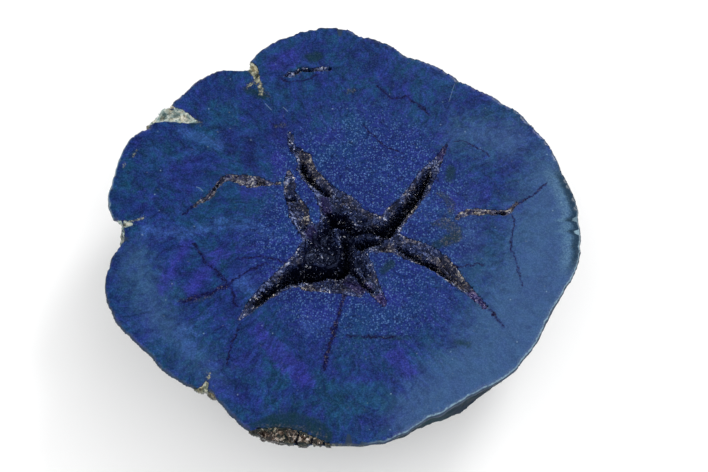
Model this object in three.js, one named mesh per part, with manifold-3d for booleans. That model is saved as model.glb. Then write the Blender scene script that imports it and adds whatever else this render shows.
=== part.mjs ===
// Half of an azurite nodule: a lobed face, sawn and polished flat, over a natural lumpy back.
// A star-shaped shrinkage hollow, lined with a crust of small crystals, opens in the face.
// Millimetres, +Z up. The origin is under the middle of the face, on the resting surface.
import * as THREE from 'three';
import { ImprovedNoise } from 'three/addons/math/ImprovedNoise.js';
import { mergeVertices } from 'three/addons/utils/BufferGeometryUtils.js';
import Module from 'manifold-3d';

const wasm = await Module();
wasm.setup();

// Driving dimensions of the nodule
const faceHeight = 17;
const edgeBevel = 0.4;
const domeDepth = 16;
const lean = { x: 0.7, y: -0.35, within: 4 };
const domeStart = THREE.MathUtils.degToRad(6);
const domeEnd = THREE.MathUtils.degToRad(72);
const roundRadius = 28;
const notchFade = 0.75;
const wallSteps = 6;
const outlineStep = 2.1;

// The swellings of the wall and the rounded lumps of the underside
const swellCount = 46;
const swellRadius = [5, 8];
const swellHeight = [1.2, 2.2];
const creaseDepth = 1.1;
const swellFadeDepth = 6;
const lumpCount = 16;
const lumpRadius = [7, 9.5];
const lumpRise = [1.2, 2];
const lumpsFrom = 0.6;
const lumpSquash = [0.75, 1];
const lumpsTop = 13;

// Clearances, the crust and the patches
const gap = 0.3;
const crustBelowFace = 0.15;
const crustBodyBelowFace = 0.55;
const patchBelowFace = 0.05;
const leastHalfWidth = 0.15;
const leastDepth = 0.3;
const slitCrystalStep = 4.4;
const topCrystalStep = 5;
const veinCrystalStep = 2.2;

// The outline of the face, counter-clockwise: the curve of each lobe, then the bottom of the
// notch that parts it from the next one
const lobes = [
  {
    curve: [
      [-15.7, -23.2], [-12.5, -26.4], [-10.4, -27.8], [-8, -28.6], [-5, -28.9], [0, -28.9],
      [3, -29.1], [6, -28.2], [10.3, -25.8], [15.5, -22.9], [20.6, -19.7], [23.4, -16.3],
      [26, -11.2], [28.4, -7.4], [29.6, -4.4], [30, -1.9], [29.9, 1.6], [29.2, 4.6],
      [26.8, 10.7], [24.8, 14], [21.8, 17], [18.3, 19.2], [15.6, 20.6], [13, 22.6],
      [10, 24], [7.8, 24.8], [5.9, 26.5], [4.3, 27], [2.6, 27.6], [0.5, 28.7],
      [-2.5, 28.9], [-5, 28.6], [-8, 27.4], [-10.7, 25.8], [-12.5, 23.7],
    ],
    notch: [-11.1, 22.6],
  },
  {
    curve: [
      [-12.6, 22.6], [-15, 22.8], [-17, 22.2], [-19, 21.1], [-21, 19.4], [-22.5, 17.4],
    ],
    notch: [-19.9, 15.3],
  },
  {
    curve: [
      [-22.3, 14.4], [-25.2, 13.9], [-27.3, 13], [-28.7, 10.6], [-29.6, 7.6], [-30.1, 5.1],
      [-30.1, 3.1], [-29.3, 0.9],
    ],
    notch: [-26.5, 0.1],
  },
  {
    curve: [
      [-28.3, -2.4], [-29.4, -4.8], [-29.9, -7], [-29.7, -9.4], [-28.2, -13.2], [-24, -17.7],
      [-21.7, -19.7], [-19.2, -21.4], [-17.3, -22.3],
    ],
    notch: [-16.1, -21.6],
  },
];

// The arms of the hollow, from tip to middle: [x, y, half width, depth] along each middle line.
// crust is how thick the crust is on the left and on the right of that line, and openFrom is the
// station where a slit opens in it. The arms with no crust given are filled to the face.
const hollowArms = {
  upperLeft: {
    line: [
      [-7.2, 13.1, 0.4, 1], [-6.8, 12, 0.5, 1.6], [-6.3, 10.6, 0.7, 2.4], [-5.3, 9.1, 0.95, 3.6],
      [-4.8, 7.6, 1.05, 4.6], [-4.1, 6.2, 1.3, 5.6], [-2.8, 4.4, 1.9, 7], [-1.2, 2, 2.9, 8.2],
      [0, -0.5, 3.5, 8.8],
    ],
    crust: [0.7, 0.2],
    openFrom: 3,
  },
  left: {
    line: [
      [-6.9, 7.8, 0.4, 1.2], [-7.1, 6.4, 0.75, 2], [-6.9, 4.9, 1, 2.4], [-6.4, 3.4, 1.25, 3],
      [-5.7, 1.8, 1.55, 4], [-4.4, 0.1, 1.8, 5.5], [-2.8, -2, 2.9, 7.5], [-1.2, -3.6, 2.9, 8],
    ],
  },
  lowerLeft: {
    line: [
      [-12.8, -12.8, 0.4, 1], [-12.2, -11.7, 0.5, 1.8], [-11.1, -10.4, 0.85, 3],
      [-9.9, -9.2, 1.05, 4.2], [-8.5, -8, 1.35, 5.4], [-6.8, -6.9, 1.8, 6.6],
      [-5.2, -6.2, 2.5, 7.6], [-3.2, -5.6, 3.3, 8.4], [-0.8, -4.9, 3.7, 8.8],
      [1.4, -4.6, 3, 8.6],
    ],
    crust: [0.45, 0.7],
    openFrom: 2,
  },
  lowerShelf: {
    line: [[0.1, -10.1, 0.5, 0.8], [0.9, -8.9, 1.6, 1.7], [1.3, -7.4, 2.4, 3.2]],
  },
  lowerRight: {
    line: [
      [4.9, -10.2, 0.45, 1.2], [4.1, -8.9, 0.8, 2.4], [3.2, -7.4, 1.35, 4], [2.2, -6, 2.1, 6],
      [0.8, -4.4, 3, 8],
    ],
    crust: [0.3, 0.8],
    openFrom: 1,
  },
  right: {
    line: [
      [18.1, -11.6, 0.4, 0.7], [16.8, -10.2, 0.45, 1.2], [15.2, -8.5, 0.8, 2.2],
      [13.8, -7.1, 1.1, 3.2], [12, -5.4, 1.5, 4.4], [10, -4, 1.75, 5.4], [7.8, -2.9, 1.8, 6.2],
      [5.6, -2, 1.7, 7], [3.2, -1.2, 2, 8], [1.5, -1, 2.2, 8.4],
    ],
    crust: [0.3, 0.9],
    openFrom: 4,
  },
  upperRight: {
    line: [
      [14.5, 12.6, 0.4, 0.6], [13.4, 11.4, 0.45, 0.9], [12.3, 9.7, 0.55, 1.6],
      [11.3, 7.9, 0.85, 2.8], [10.3, 6.5, 0.95, 3.8], [9.3, 5, 1.1, 4.8], [8.1, 3.4, 1.2, 5.6],
      [6.8, 1.9, 1.35, 6.4], [5.3, 0.4, 1.8, 7.4], [3.2, -0.8, 2.2, 8.4], [1.3, -1.6, 2.2, 8.6],
    ],
    crust: [0.4, 0.35],
    openFrom: 4,
  },
  middle: {
    line: [
      [-1.7, 3.6, 2, 6.8], [-0.8, 1.2, 2.9, 8], [0.4, -1.4, 3.5, 8.8], [1, -4.6, 3.2, 8.6],
    ],
    crust: [0.8, 0.45],
    openFrom: 0,
  },
};
const crustFloor = 0.9;
const slitRunOn = 0.5;

// Where the crust slopes down from the filled left arm to the bottom of the hollow
const crustSlope = [
  [-5.3, 0.9, 0.8, 0.7], [-4.5, -0.4, 1.4, 1.6], [-3.2, -2.1, 2.2, 3.6], [-1.3, -3.8, 2.6, 6.2],
];

const veins = {
  vein_druse_left: [
    [-8.7, 5.6, 0.5, 0.9], [-9.8, 5.8, 0.55, 1], [-11, 6.2, 0.8, 1.2], [-12.5, 6.4, 0.95, 1.3],
    [-14, 6.6, 0.85, 1.2], [-15.4, 6.8, 0.65, 1.1], [-16.4, 6.1, 0.55, 1], [-17, 5, 0.5, 1],
    [-18, 4, 0.5, 0.9], [-19.3, 3.1, 0.45, 0.8],
  ],
  vein_druse_right: [
    [13.3, 1, 0.45, 0.9], [14.4, 1.4, 0.5, 1], [15.6, 1.9, 0.5, 1], [17.4, 1.9, 0.5, 1],
    [19.4, 1.7, 0.45, 0.9], [20.6, 1.9, 0.45, 0.8],
  ],
};

const topFissure = [
  [-7.6, 21.3, 0.2, 0.5], [-6.2, 22, 0.3, 1], [-4.4, 22.3, 0.25, 1], [-2.6, 22.4, 0.25, 0.9],
  [-0.4, 22.6, 0.2, 0.4],
];

// What clings in the notches and at the front: middle, half sizes and turn about +Z in degrees
const patches = {
  matrix_top_notch: { at: [-11.6, 22.1, 14.6], half: [0.8, 1.3, 3.2], turn: 20 },
  matrix_upper_left_notch: { at: [-22.1, 15.1, 13.4], half: [3.4, 1.6, 4.6], turn: 8 },
  matrix_left_notch: { at: [-27, -0.6, 14], half: [1.3, 1.5, 3.8], turn: -30 },
  matrix_lower_left_notch: { at: [-16.3, -21.6, 15.2], half: [0.9, 1, 2.4], turn: 30 },
  rusty_patch_front: { at: [-6.4, -26.6, 15.3], half: [4.2, 1.5, 2], turn: 3 },
};
const patchRoughness = 0.14;

const noise = new ImprovedNoise();

const makeRandom = (seed) => {
  let state = seed;
  return (low = 0, high = 1) => {
    state = (state * 16807) % 2147483647;
    return low + ((high - low) * state) / 2147483647;
  };
};

function toSolid(geometry) {
  geometry.deleteAttribute('normal');
  geometry.deleteAttribute('uv');
  const merged = mergeVertices(geometry, 1e-5);
  const mesh = new wasm.Mesh({
    numProp: 3,
    vertProperties: merged.getAttribute('position').array,
    triVerts: Uint32Array.from(merged.index.array),
  });
  return new wasm.Manifold(mesh);
}

function toGeometry(solid) {
  const { vertProperties, triVerts } = solid.getMesh();
  const geometry = new THREE.BufferGeometry();
  geometry.setAttribute('position', new THREE.BufferAttribute(vertProperties, 3));
  geometry.setIndex(new THREE.BufferAttribute(triVerts, 1));
  geometry.computeVertexNormals();
  return geometry;
}

// Moves every vertex of a geometry to the place that move(vertex) gives it
function reshape(geometry, move) {
  const position = geometry.getAttribute('position');
  const vertex = new THREE.Vector3();
  for (let i = 0; i < position.count; i += 1) {
    vertex.fromBufferAttribute(position, i);
    position.setXYZ(i, ...move(vertex).toArray());
  }
  return geometry;
}

const join = (solids) => solids.reduce((whole, solid) => whole.add(solid));

function faceOutline() {
  const points = lobes.flatMap(({ curve, notch }) => {
    const edge = new THREE.SplineCurve(curve.map(([x, y]) => new THREE.Vector2(x, y)));
    const count = Math.round(edge.getLength() / outlineStep);
    return [...edge.getSpacedPoints(count), new THREE.Vector2(...notch)];
  });
  return new THREE.Shape(points);
}

// The point of the plain dome under the outline point (x, y), at an angle below the level. The
// face lies a little below the widest level of the nodule, so the wall leans inwards at once.
function domePoint(x, y, below) {
  const radius = Math.hypot(x, y);
  const sunk = (Math.sin(below) - Math.sin(domeStart)) / (1 - Math.sin(domeStart));
  const rounded = THREE.MathUtils.lerp(radius, roundRadius, notchFade * sunk);
  const drawnIn = (rounded / radius) * (Math.cos(below) / Math.cos(domeStart));
  const leaning = THREE.MathUtils.smoothstep(domeDepth * sunk, 0, lean.within);
  return new THREE.Vector3(
    x * drawnIn + lean.x * leaning,
    y * drawnIn + lean.y * leaning,
    faceHeight - edgeBevel - domeDepth * sunk,
  );
}

// Places spread evenly over the back, from a fraction of its depth down to the bottom
function backPlaces(random, count, from) {
  const goldenAngle = Math.PI * (3 - Math.sqrt(5));
  return Array.from({ length: count }, (_, i) => {
    const angle = i * goldenAngle + random(-0.2, 0.2);
    const below = Math.asin(THREE.MathUtils.lerp(from, 1, (i + 0.7) / count));
    return domePoint(roundRadius * Math.cos(angle), roundRadius * Math.sin(angle), below);
  });
}

const outwardAt = (point) => new THREE.Vector3(
  point.x / roundRadius ** 2,
  point.y / roundRadius ** 2,
  (point.z - faceHeight) / domeDepth ** 2,
).normalize();

function undersideLumps() {
  const random = makeRandom(23);
  return join(backPlaces(random, lumpCount, lumpsFrom).map((place) => {
    const radius = random(...lumpRadius);
    const ball = new THREE.IcosahedronGeometry(radius, 3);
    ball.rotateX(random(0, Math.PI));
    ball.rotateY(random(0, Math.PI));
    ball.scale(1, random(...lumpSquash), 1);
    ball.rotateZ(random(0, Math.PI));
    const middle = place.addScaledVector(outwardAt(place), random(...lumpRise) - radius);
    ball.translate(middle.x, middle.y, middle.z);
    return toSolid(ball);
  })).intersect(belowOf(lumpsTop));
}

function nodule() {
  const random = makeRandom(41);
  const swellings = backPlaces(random, swellCount, 0.1).map((middle) => {
    return { middle, radius: random(...swellRadius), height: random(...swellHeight) };
  });
  const slab = new THREE.ExtrudeGeometry(faceOutline(), {
    depth: 1,
    steps: wallSteps,
    bevelEnabled: false,
  });
  return reshape(slab, ({ x, y, z }) => {
    const level = Math.round((1 - z) * wallSteps);
    if (level === 0) {
      const radius = Math.hypot(x, y);
      const inset = (radius - edgeBevel) / radius;
      return new THREE.Vector3(x * inset, y * inset, faceHeight);
    }
    const below = THREE.MathUtils.lerp(domeStart, domeEnd, (level - 1) / (wallSteps - 1));
    const plain = domePoint(x, y, below);
    const swelling = Math.max(0, ...swellings.map(({ middle, radius, height }) => {
      return height * (1 - (plain.distanceTo(middle) / radius) ** 2);
    }));
    const fade = THREE.MathUtils.smoothstep(faceHeight - plain.z, 0, swellFadeDepth);
    return plain.addScaledVector(outwardAt(plain), (swelling - creaseDepth) * fade);
  });
}

// The middle line of an arm, slit or vein: place, direction, half width and depth at t from 0 to 1
function lineOf(stations) {
  const middleLine = new THREE.CatmullRomCurve3(
    stations.map(([x, y]) => new THREE.Vector3(x, y, 0)),
  );
  const sizeLine = new THREE.CatmullRomCurve3(
    stations.map(([, , half, deep]) => new THREE.Vector3(half, deep, 0)),
  );
  const at = (t) => {
    const { x, y } = middleLine.getPoint(t);
    const direction = middleLine.getTangent(t);
    const { x: half, y: deep } = sizeLine.getPoint(t);
    return { x, y, direction, half, deep };
  };
  return { at, length: middleLine.getLength() };
}

// How wide an arm is at a fraction of its depth, against its width at the face
const widthAt = (fraction) => 1 - 0.55 * fraction ** 2;

// A boat-shaped block along a middle line, narrower towards its floor
function trough(stations, { narrower = 0, shallower = 0, top = faceHeight + 1 } = {}) {
  const line = lineOf(stations);
  const fractions = [1, 0.55, 0];
  const block = new THREE.BoxGeometry(1, 1, 1, stations.length - 1, 1, fractions.length);
  return toSolid(reshape(block, ({ x, y, z }) => {
    const spot = line.at(x + 0.5);
    const half = Math.max(spot.half - narrower, leastHalfWidth);
    const deep = Math.max(spot.deep - shallower, leastDepth);
    const level = Math.round((z + 0.5) * fractions.length);
    const fraction = fractions[level] ?? 0;
    const across = 2 * y * half * widthAt(fraction);
    const height = level === fractions.length ? top : Math.min(faceHeight - fraction * deep, top - 0.1);
    return new THREE.Vector3(
      spot.x - spot.direction.y * across,
      spot.y + spot.direction.x * across,
      height,
    );
  }));
}

// True where a point lies well inside one of the open slits
function insideSlit(lines, { x, y, z }, margin = 0.1) {
  const checks = 16;
  return lines.some((line) => Array.from({ length: checks + 1 }, (_, i) => line.at(i / checks))
    .some((spot) => {
      const fraction = Math.max(faceHeight - z, 0) / spot.deep;
      const reach = spot.half * widthAt(Math.min(fraction, 1)) - margin;
      return fraction < 1 && Math.hypot(x - spot.x, y - spot.y) < reach;
    }));
}

function crystal(random, at, size) {
  const geometry = new THREE.OctahedronGeometry(size);
  geometry.scale(random(0.55, 0.8), random(0.7, 1), random(1, 1.3));
  geometry.rotateX(random(0, Math.PI));
  geometry.rotateY(random(0, Math.PI));
  geometry.rotateZ(random(0, Math.PI));
  geometry.translate(at.x, at.y, at.z);
  return toSolid(geometry);
}

// The slit that the crust leaves open in an arm, as a line of its own
function slitOf({ line, crust: [left, right], openFrom }) {
  const { at } = lineOf(line);
  const shift = (right - left) / 2;
  return line.slice(openFrom).map(([, , half, deep], i) => {
    const station = openFrom + i;
    const { x, y, direction } = at(station / (line.length - 1));
    const onward = station === line.length - 1 ? slitRunOn : 0;
    return [
      x - direction.y * shift + direction.x * onward,
      y + direction.x * shift + direction.y * onward,
      half - gap - (left + right) / 2,
      deep - gap - crustFloor,
    ];
  });
}

const beside = (spot, across, z) => new THREE.Vector3(
  spot.x - spot.direction.y * across,
  spot.y + spot.direction.x * across,
  z,
);

// Crystals in rows along both walls and the floor of every slit, each half sunk in the crust
function slitCrystals(random, lines) {
  const rows = [
    { side: -1, fraction: 0.4 }, { side: 1, fraction: 0.4 }, { side: 0, fraction: 1 },
  ];
  const crystals = [];
  for (const line of lines) {
    const count = Math.ceil(line.length / slitCrystalStep);
    for (let i = 0; i < count; i += 1) {
      const spot = line.at((i + random(0.2, 0.8)) / count);
      for (const { side, fraction } of rows) {
        const across = side * (spot.half * widthAt(fraction) + 0.15);
        const depth = spot.deep * (fraction + random(-0.15, 0.05));
        const at = beside(spot, across, faceHeight - depth);
        if (!insideSlit(lines, at)) {
          crystals.push(crystal(random, at, random(0.55, 0.9)));
        }
      }
    }
  }
  return crystals;
}

// Crystals that stand in the top of the crust, along the edges of an arm or a vein
function topCrystals(random, stations, lines, step) {
  const line = lineOf(stations);
  const count = Math.ceil(line.length / step);
  const crystals = [];
  for (let i = 0; i < count; i += 1) {
    const spot = line.at((i + random(0.2, 0.8)) / count);
    const inner = Math.max(spot.half - gap, leastHalfWidth);
    for (const side of inner > 0.6 ? [-1, 1] : [0]) {
      const depth = crustBodyBelowFace + random(0, 0.3);
      const at = beside(spot, side * (inner - 0.35), faceHeight - depth);
      if (!insideSlit(lines, at, -0.1)) {
        crystals.push(crystal(random, at, random(0.5, 0.8)));
      }
    }
  }
  return crystals;
}

const armFilling = (stations, belowFace) => trough(stations, {
  narrower: gap,
  shallower: gap,
  top: faceHeight - belowFace,
});

function cavityCrust() {
  const random = makeRandom(77);
  const arms = Object.values(hollowArms);
  const slits = [...arms.filter(({ crust }) => crust).map(slitOf), crustSlope];
  const slitLines = slits.map(lineOf);
  const body = join(arms.map(({ line }) => armFilling(line, crustBodyBelowFace)));
  const envelope = join(arms.map(({ line }) => armFilling(line, crustBelowFace)));
  const open = join(slits.map((slit) => trough(slit)));
  const tops = arms.flatMap(({ line }) => topCrystals(random, line, slitLines, topCrystalStep));
  const crystals = [...slitCrystals(random, slitLines), ...tops];
  return join([body.subtract(open), ...crystals]).intersect(envelope);
}

function veinCrust(stations, seed) {
  const random = makeRandom(seed);
  const body = armFilling(stations, crustBodyBelowFace);
  const tops = topCrystals(random, stations, [], veinCrystalStep);
  return join([body, ...tops]).intersect(armFilling(stations, crustBelowFace));
}

function patch({ at, half, turn }, grow = 0) {
  const ball = new THREE.IcosahedronGeometry(1, 1);
  const middle = new THREE.Vector3(...at);
  const upright = new THREE.Vector3(0, 0, 1);
  return toSolid(reshape(ball, (vertex) => {
    const { x, y, z } = vertex;
    const rough = 1 + patchRoughness * noise.noise(x * 2 + at[0], y * 2, z * 3);
    const out = vertex.clone().multiplyScalar(rough).multiply(new THREE.Vector3(...half));
    out.setLength(out.length() + grow);
    out.applyAxisAngle(upright, THREE.MathUtils.degToRad(turn));
    return out.add(middle);
  }));
}

// A block that fills everything above a height, or everything below it
function halfSpace(height, side) {
  const size = 90;
  const block = new THREE.BoxGeometry(size, size, size);
  block.translate(0, 0, height + (side * size) / 2);
  return toSolid(block);
}
const above = (height) => halfSpace(height, 1);
const belowOf = (height) => halfSpace(height, -1);

const azurite = { color: 0x31528c, roughness: 0.3, metalness: 0 };
const druse = { color: 0x2c3348, roughness: 0.5, metalness: 0 };
const veinFill = { color: 0x6e6f78, roughness: 0.7, metalness: 0 };
const hostRock = { color: 0xb5beb8, roughness: 0.95, metalness: 0 };
const rust = { color: 0x4a4741, roughness: 0.9, metalness: 0 };

const specimen = new THREE.Group();
function addPiece(name, solid, look) {
  const mesh = new THREE.Mesh(toGeometry(solid), new THREE.MeshStandardMaterial(look));
  mesh.name = name;
  specimen.add(mesh);
}

const armLines = Object.values(hollowArms).map(({ line }) => line);
const hollows = [...armLines, ...Object.values(veins), topFissure].map((line) => trough(line));
const recesses = Object.values(patches).map((shape) => patch(shape, gap));
const wholeNodule = toSolid(nodule()).add(undersideLumps()).subtract(belowOf(0));
addPiece('azurite_nodule', wholeNodule.subtract(join([...hollows, ...recesses])), azurite);
addPiece('cavity_druse', cavityCrust(), druse);
for (const [i, [name, stations]] of Object.entries(veins).entries()) {
  addPiece(name, veinCrust(stations, 90 + i), veinFill);
}
for (const [name, shape] of Object.entries(patches)) {
  const look = name === 'rusty_patch_front' ? rust : hostRock;
  addPiece(name, patch(shape).subtract(above(faceHeight - patchBelowFace)), look);
}

export default specimen;
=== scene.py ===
import math

import bmesh
import bpy
import numpy as np
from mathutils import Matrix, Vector, noise


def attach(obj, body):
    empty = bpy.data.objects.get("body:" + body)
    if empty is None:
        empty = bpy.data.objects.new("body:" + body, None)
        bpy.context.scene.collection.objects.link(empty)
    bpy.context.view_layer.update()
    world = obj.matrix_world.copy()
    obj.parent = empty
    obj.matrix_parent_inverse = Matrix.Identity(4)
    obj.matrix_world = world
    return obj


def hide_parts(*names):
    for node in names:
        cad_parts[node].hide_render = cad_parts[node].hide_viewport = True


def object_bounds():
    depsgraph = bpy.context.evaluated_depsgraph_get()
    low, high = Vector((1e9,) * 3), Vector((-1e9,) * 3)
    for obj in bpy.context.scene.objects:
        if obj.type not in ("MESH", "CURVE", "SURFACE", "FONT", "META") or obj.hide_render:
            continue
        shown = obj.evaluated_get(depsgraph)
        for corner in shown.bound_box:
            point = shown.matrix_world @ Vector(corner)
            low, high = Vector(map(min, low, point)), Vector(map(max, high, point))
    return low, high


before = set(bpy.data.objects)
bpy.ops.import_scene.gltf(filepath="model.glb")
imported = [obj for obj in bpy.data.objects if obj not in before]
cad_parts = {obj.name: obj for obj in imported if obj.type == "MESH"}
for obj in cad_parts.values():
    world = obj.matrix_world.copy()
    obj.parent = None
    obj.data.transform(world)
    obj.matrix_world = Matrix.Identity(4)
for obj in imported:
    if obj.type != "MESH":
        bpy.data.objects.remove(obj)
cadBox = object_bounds()
mm = 0.001
faceZ = cadBox[1].z  # height of the sawn and polished face
print("frame loaded, face at", round(faceZ / mm, 2), "mm")


# small helpers for meshes

def copyOfNode(nodeName, pieceName):
    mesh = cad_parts[nodeName].data.copy()
    mesh.materials.clear()
    bm = bmesh.new()
    bm.from_mesh(mesh)
    bmesh.ops.remove_doubles(bm, verts=bm.verts, dist=0.001 * mm)
    bm.to_mesh(mesh)
    bm.free()
    piece = bpy.data.objects.new(pieceName, mesh)
    bpy.context.scene.collection.objects.link(piece)
    return piece


def applyModifiers(piece):
    depsgraph = bpy.context.evaluated_depsgraph_get()
    piece.data = bpy.data.meshes.new_from_object(piece.evaluated_get(depsgraph))
    piece.modifiers.clear()


def evenSkin(piece, voxel):
    remesh = piece.modifiers.new("even skin", "REMESH")
    remesh.mode = "VOXEL"
    remesh.voxel_size = voxel
    applyModifiers(piece)


def pointsOf(mesh):
    flat = np.zeros(len(mesh.vertices) * 3)
    mesh.vertices.foreach_get("co", flat)
    return flat.reshape(-1, 3)


def normalsOf(mesh):
    flat = np.zeros(len(mesh.vertices) * 3)
    mesh.vertices.foreach_get("normal", flat)
    return flat.reshape(-1, 3)


def setPoints(mesh, points):
    mesh.vertices.foreach_set("co", points.ravel())
    mesh.update()


def setAttribute(mesh, name, values):
    attribute = mesh.attributes.get(name) or mesh.attributes.new(name, "FLOAT", "POINT")
    attribute.data.foreach_set("value", values.astype(np.float32))


def smoothShaded(mesh):
    mesh.polygons.foreach_set("use_smooth", [True] * len(mesh.polygons))


def smoothStep(values, low, high):
    t = np.clip((values - low) / (high - low), 0, 1)
    return t * t * (3 - 2 * t)


def noiseAt(points, wavelength, octaves=3, seed=0):
    shift = Vector((seed * 7.31, seed * 3.17, seed * 5.71))
    scale = 1 / wavelength
    return np.array([
        noise.fractal(Vector(point) * scale + shift, 1.0, 2.0, octaves) for point in points
    ])


def creaseOf(mesh, rounds):
    """How deep each point lies below its smoothed surroundings, in mm."""
    points = pointsOf(mesh)
    edges = np.zeros(len(mesh.edges) * 2, int)
    mesh.edges.foreach_get("vertices", edges)
    a, b = edges[0::2], edges[1::2]
    count = np.bincount(edges, minlength=len(points))[:, None]
    smooth = points.copy()
    for _ in range(rounds):
        total = np.zeros_like(points)
        for axis in range(3):
            total[:, axis] += np.bincount(a, smooth[b, axis], len(points))
            total[:, axis] += np.bincount(b, smooth[a, axis], len(points))
        smooth = total / np.maximum(count, 1)
    return np.einsum("ij,ij->i", smooth - points, normalsOf(mesh)) / mm


# small helpers for materials

lightLevel = 1.45  # how much brighter than plain white the lights make the floor


def paint(red, green, blue):
    """Turns a colour as it shows on the screen, 0 to 255, into the surface's own linear colour."""
    def linear(value):
        value /= 255
        return (value / 12.92 if value <= 0.04045 else ((value + 0.055) / 1.055) ** 2.4) / lightLevel
    return (linear(red), linear(green), linear(blue), 1)


def addNode(tree, kind, inputs=None, **settings):
    made = tree.nodes.new(kind)
    for name, value in settings.items():
        setattr(made, name, value)
    for name, value in (inputs or {}).items():
        if isinstance(value, bpy.types.NodeSocket):
            tree.links.new(value, made.inputs[name])
        else:
            made.inputs[name].default_value = value
    return made


def calc(tree, operation, first, second=0.0, clamp=False):
    made = addNode(tree, "ShaderNodeMath", {0: first, 1: second}, operation=operation, use_clamp=clamp)
    return made.outputs[0]


def vectorCalc(tree, operation, first, second=(0, 0, 0)):
    made = addNode(tree, "ShaderNodeVectorMath", {0: first, 1: second}, operation=operation)
    return made.outputs["Value"] if operation in ("DOT_PRODUCT", "LENGTH", "DISTANCE") else made.outputs[0]


def stretch(tree, vector, factor):
    return addNode(tree, "ShaderNodeVectorMath", {0: vector, "Scale": factor}, operation="SCALE").outputs[0]


def between(tree, value, low, high, toLow=0.0, toHigh=1.0):
    made = addNode(tree, "ShaderNodeMapRange", {
        "Value": value, "From Min": low, "From Max": high, "To Min": toLow, "To Max": toHigh,
    }, interpolation_type="SMOOTHSTEP")
    return made.outputs["Result"]


def mixColour(tree, factor, first, second, blend="MIX"):
    made = addNode(tree, "ShaderNodeMix", data_type="RGBA", blend_type=blend, clamp_factor=True)
    for index, value in ((0, factor), (6, first), (7, second)):
        if isinstance(value, bpy.types.NodeSocket):
            tree.links.new(value, made.inputs[index])
        else:
            made.inputs[index].default_value = value
    return made.outputs[2]


def noiseNode(tree, vector, scale, detail=3.0, roughness=0.5, distortion=0.0):
    return addNode(tree, "ShaderNodeTexNoise", {
        "Vector": vector, "Scale": scale, "Detail": detail, "Roughness": roughness,
        "Distortion": distortion,
    })


def cells(tree, vector, scale, feature="F1"):
    return addNode(tree, "ShaderNodeTexVoronoi", {"Vector": vector, "Scale": scale}, feature=feature)


def ramp(tree, factor, stops):
    made = addNode(tree, "ShaderNodeValToRGB", {"Fac": factor})
    elements = made.color_ramp.elements
    while len(elements) < len(stops):
        elements.new(1.0)
    for element, (position, colour) in zip(elements, stops):
        element.position = position
        element.color = colour
    return made.outputs["Color"]


def newMaterial(name):
    material = bpy.data.materials.new(name)
    material.use_nodes = True
    tree = material.node_tree
    shader = tree.nodes["Principled BSDF"]
    place = addNode(tree, "ShaderNodeTexCoord").outputs["Object"]
    return material, tree, shader, stretch(tree, place, 1 / mm)


def attributeNode(tree, name):
    return addNode(tree, "ShaderNodeAttribute", attribute_name=name).outputs["Fac"]


def addBump(tree, shader, height, strength, distance):
    bump = addNode(tree, "ShaderNodeBump", {"Height": height, "Strength": strength, "Distance": distance})
    tree.links.new(bump.outputs["Normal"], shader.inputs["Normal"])


# the plan of the hollow and the veins: strokes in mm, each point with its x, y and half width

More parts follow.
